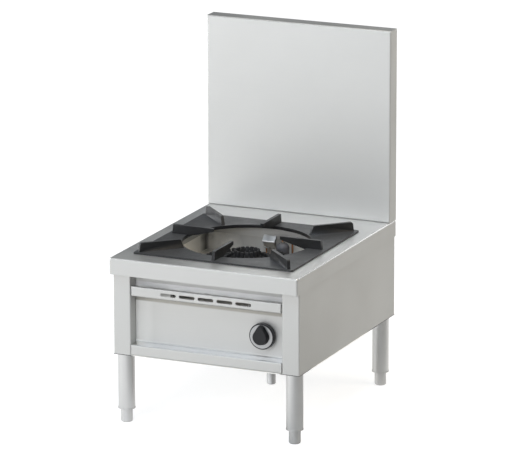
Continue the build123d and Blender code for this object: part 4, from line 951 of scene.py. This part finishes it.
class STOVE_OT_dress_knob(bpy.types.Operator):
    """Black knob with a bright ring plate."""

    bl_idname = "stove.dress_knob"
    bl_label = "Knob"

    def execute(self, context):
        colours = context.scene.stove_colours
        plastic = moulded_finish("knob_plastic", colours.knob, roughness=0.34)
        bright = brushed_finish("knob_bright", colours.ring, GRAIN_RING, roughness=0.3)
        dress(plastic, *nodes_of("knob_plastic"))
        dress(bright, *nodes_of("knob_bright"))
        return {"FINISHED"}


class STOVE_OT_make_screws(bpy.types.Operator):
    """Fasteners, and pan head screws with a cross recess on the rear."""

    bl_idname = "stove.make_screws"
    bl_label = "Fasteners"

    def execute(self, context):
        colours = context.scene.stove_colours
        sizes = context.scene.stove_sizes
        steel = brushed_finish("fastener_steel", colours.fastener, GRAIN_FASTENER, roughness=0.32)
        dress(steel, *nodes_of("fastener_steel"))
        for node, columns, rows in (("cover_screws", 3, 3), ("back_panel_screws", 2, 2)):
            low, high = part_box(node)
            proud = high.y - low.y - sizes.shank_length
            across = np.linspace(low.x + sizes.head_radius, high.x - sizes.head_radius, columns)
            upward = np.linspace(low.z + sizes.head_radius, high.z - sizes.head_radius, rows)
            places = [
                (x, high.y - proud, z)
                for x in across
                for z in upward
                if x in across[[0, -1]] or z in upward[[0, -1]]
            ]
            skin = repeat_piece(*closed_rings(screw_rings(sizes, proud)), places)
            make_piece(f"recessed_{node}", *skin, steel, "stove", "fastener_steel", node)
        return {"FINISHED"}


def outward(azimuth, elevation):
    """Direction at an angle to the right of the front and above the horizon."""
    flat = math.cos(elevation)
    return Vector((math.sin(azimuth) * flat, -math.cos(azimuth) * flat, math.sin(elevation)))


def soft_light(name, azimuth, elevation, width, height, brightness, colour):
    """Rectangular light whose face has that brightness, turned to the stove."""
    lamp = bpy.data.lights.new(name, "AREA")
    lamp.shape = "RECTANGLE"
    lamp.size = width
    lamp.size_y = height
    lamp.energy = brightness * math.pi * width * height
    lamp.color = colour
    light = bpy.data.objects.new(name, lamp)
    back = outward(math.radians(azimuth), math.radians(elevation))
    turned = back.to_track_quat("Z", "Y").to_matrix().to_4x4()
    light.matrix_world = Matrix.Translation(LIGHT_TARGET + LIGHT_DISTANCE * back) @ turned
    light.visible_camera = False
    bpy.context.scene.collection.objects.link(light)


def seen_by(tree, mirrored):
    """1 for camera and transmission rays, the given share for glossy rays."""
    rays = put(tree, "ShaderNodeLightPath").outputs
    straight = reckon(tree, "MAXIMUM", rays["Is Camera Ray"], rays["Is Transmission Ray"])
    return reckon(tree, "MAXIMUM", straight, reckon(tree, "MULTIPLY", rays["Is Glossy Ray"], mirrored))


def white_floor(colour, stage):
    """Matt floor that keeps shadows, with a glow for the camera and, dimmed by a flag, for reflections."""
    material = bpy.data.materials.new("pale_floor")
    material.use_nodes = True
    tree = material.node_tree
    tree.nodes.clear()
    matt = put(tree, "ShaderNodeBsdfDiffuse", Color=shade(colour))
    spot = put(tree, "ShaderNodeTexCoord").outputs["Object"]
    away = put(tree, "ShaderNodeVectorMath", {"operation": "LENGTH"}, Vector=spot).outputs["Value"]
    heading = put(tree, "ShaderNodeVectorMath", {"operation": "NORMALIZE"}, Vector=spot).outputs["Vector"]
    white = spread(tree, away, (stage.near_reach, stage.far_reach), (stage.white, stage.far_white))
    flag = compare(tree, "DOT_PRODUCT", heading, outward(stage.flag_azimuth, 0.0), "Value")
    mirrored = spread(tree, flag, FLAG_SPAN, (1.0, stage.flag_share))
    strength = reckon(tree, "MULTIPLY", seen_by(tree, mirrored), white)
    lit = put(tree, "ShaderNodeEmission", Strength=strength)
    both = put(tree, "ShaderNodeAddShader")
    feed(tree, both.inputs[0], matt.outputs[0])
    feed(tree, both.inputs[1], lit.outputs[0])
    put(tree, "ShaderNodeOutputMaterial", Surface=both.outputs[0])
    return material


class STOVE_OT_set_stage(bpy.types.Operator):
    """White floor, soft lights and the photograph's camera."""

    bl_idname = "stove.set_stage"
    bl_label = "Stage"

    def execute(self, context):
        scene = context.scene
        stage = scene.stove_stage
        self.lay_floor(scene, stage)
        self.hang_lights(scene, stage)
        self.set_camera(scene, stage)
        scene.view_settings.view_transform = "Standard"
        return {"FINISHED"}

    def lay_floor(self, scene, stage):
        """Wide floor just under the soles."""
        corners = np.array([(-1, -1), (1, -1), (1, 1), (-1, 1)]) * stage.floor_half
        mesh = bpy.data.meshes.new("floor")
        mesh.from_pydata([(x, y, -stage.floor_drop) for x, y in corners], [], [(0, 1, 2, 3)])
        mesh.materials.append(white_floor(scene.stove_colours.floor, stage))
        floor = bpy.data.objects.new("floor", mesh)
        scene.collection.objects.link(floor)

    def hang_lights(self, scene, stage):
        """Even light of the room, and the lights round the stove."""
        world = bpy.data.worlds.new("room")
        world.use_nodes = True
        world.node_tree.nodes["Background"].inputs["Color"].default_value = shade(stage.world)
        scene.world = world
        for light in LIGHTS:
            soft_light(*light)

    def set_camera(self, scene, stage):
        """Camera that was fitted to the photograph."""
        back = outward(stage.azimuth, stage.elevation)
        level = (-back).cross(Vector((0.0, 0.0, 1.0))).normalized()
        upward = back.cross(level)
        right = math.cos(stage.roll) * level + math.sin(stage.roll) * upward
        up = -math.sin(stage.roll) * level + math.cos(stage.roll) * upward
        lens = bpy.data.cameras.new("camera")
        lens.sensor_fit = "HORIZONTAL"
        lens.sensor_width = SENSOR_WIDTH
        lens.lens = stage.focal * SENSOR_WIDTH / PHOTO_WIDTH
        camera = bpy.data.objects.new("camera", lens)
        turned = Matrix((right, up, back)).transposed().to_4x4()
        camera.matrix_world = Matrix.Translation(Vector(stage.target) + stage.distance * back) @ turned
        scene.collection.objects.link(camera)
        scene.camera = camera


class STOVE_PT_panel(bpy.types.Panel):
    """Stove's pieces, colours and sizes."""

    bl_label = "Stock pot stove"
    bl_idname = "STOVE_PT_panel"
    bl_space_type = "VIEW_3D"
    bl_region_type = "UI"
    bl_category = "Stove"

    def draw(self, context):
        for step in STEPS:
            self.layout.operator(step.bl_idname)
        for values in (context.scene.stove_colours, context.scene.stove_sizes, context.scene.stove_stage):
            column = self.layout.column()
            for name in values.__annotations__:
                column.prop(values, name)


STEPS = (
    STOVE_OT_dress_cabinet,
    STOVE_OT_dress_well,
    STOVE_OT_dress_legs,
    STOVE_OT_make_feet,
    STOVE_OT_dress_castings,
    STOVE_OT_dress_pilot,
    STOVE_OT_dress_gas,
    STOVE_OT_dress_knob,
    STOVE_OT_make_screws,
    STOVE_OT_set_stage,
)
CLASSES = (StoveColours, StoveSizes, StoveStage, *STEPS, STOVE_PT_panel)


def register():
    """Adds the classes and the scene's three groups of values."""
    for kind in CLASSES:
        bpy.utils.register_class(kind)
    bpy.types.Scene.stove_colours = PointerProperty(type=StoveColours)
    bpy.types.Scene.stove_sizes = PointerProperty(type=StoveSizes)
    bpy.types.Scene.stove_stage = PointerProperty(type=StoveStage)


def unregister():
    """Takes away what register adds."""
    del bpy.types.Scene.stove_stage
    del bpy.types.Scene.stove_sizes
    del bpy.types.Scene.stove_colours
    for kind in reversed(CLASSES):
        bpy.utils.unregister_class(kind)


def main():
    """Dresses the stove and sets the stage."""
    register()
    bpy.ops.stove.dress_cabinet()
    bpy.ops.stove.dress_well()
    bpy.ops.stove.dress_legs()
    bpy.ops.stove.make_feet()
    bpy.ops.stove.dress_castings()
    bpy.ops.stove.dress_pilot()
    bpy.ops.stove.dress_gas()
    bpy.ops.stove.dress_knob()
    bpy.ops.stove.make_screws()
    bpy.ops.stove.set_stage()


if __name__ == "__main__":
    main()
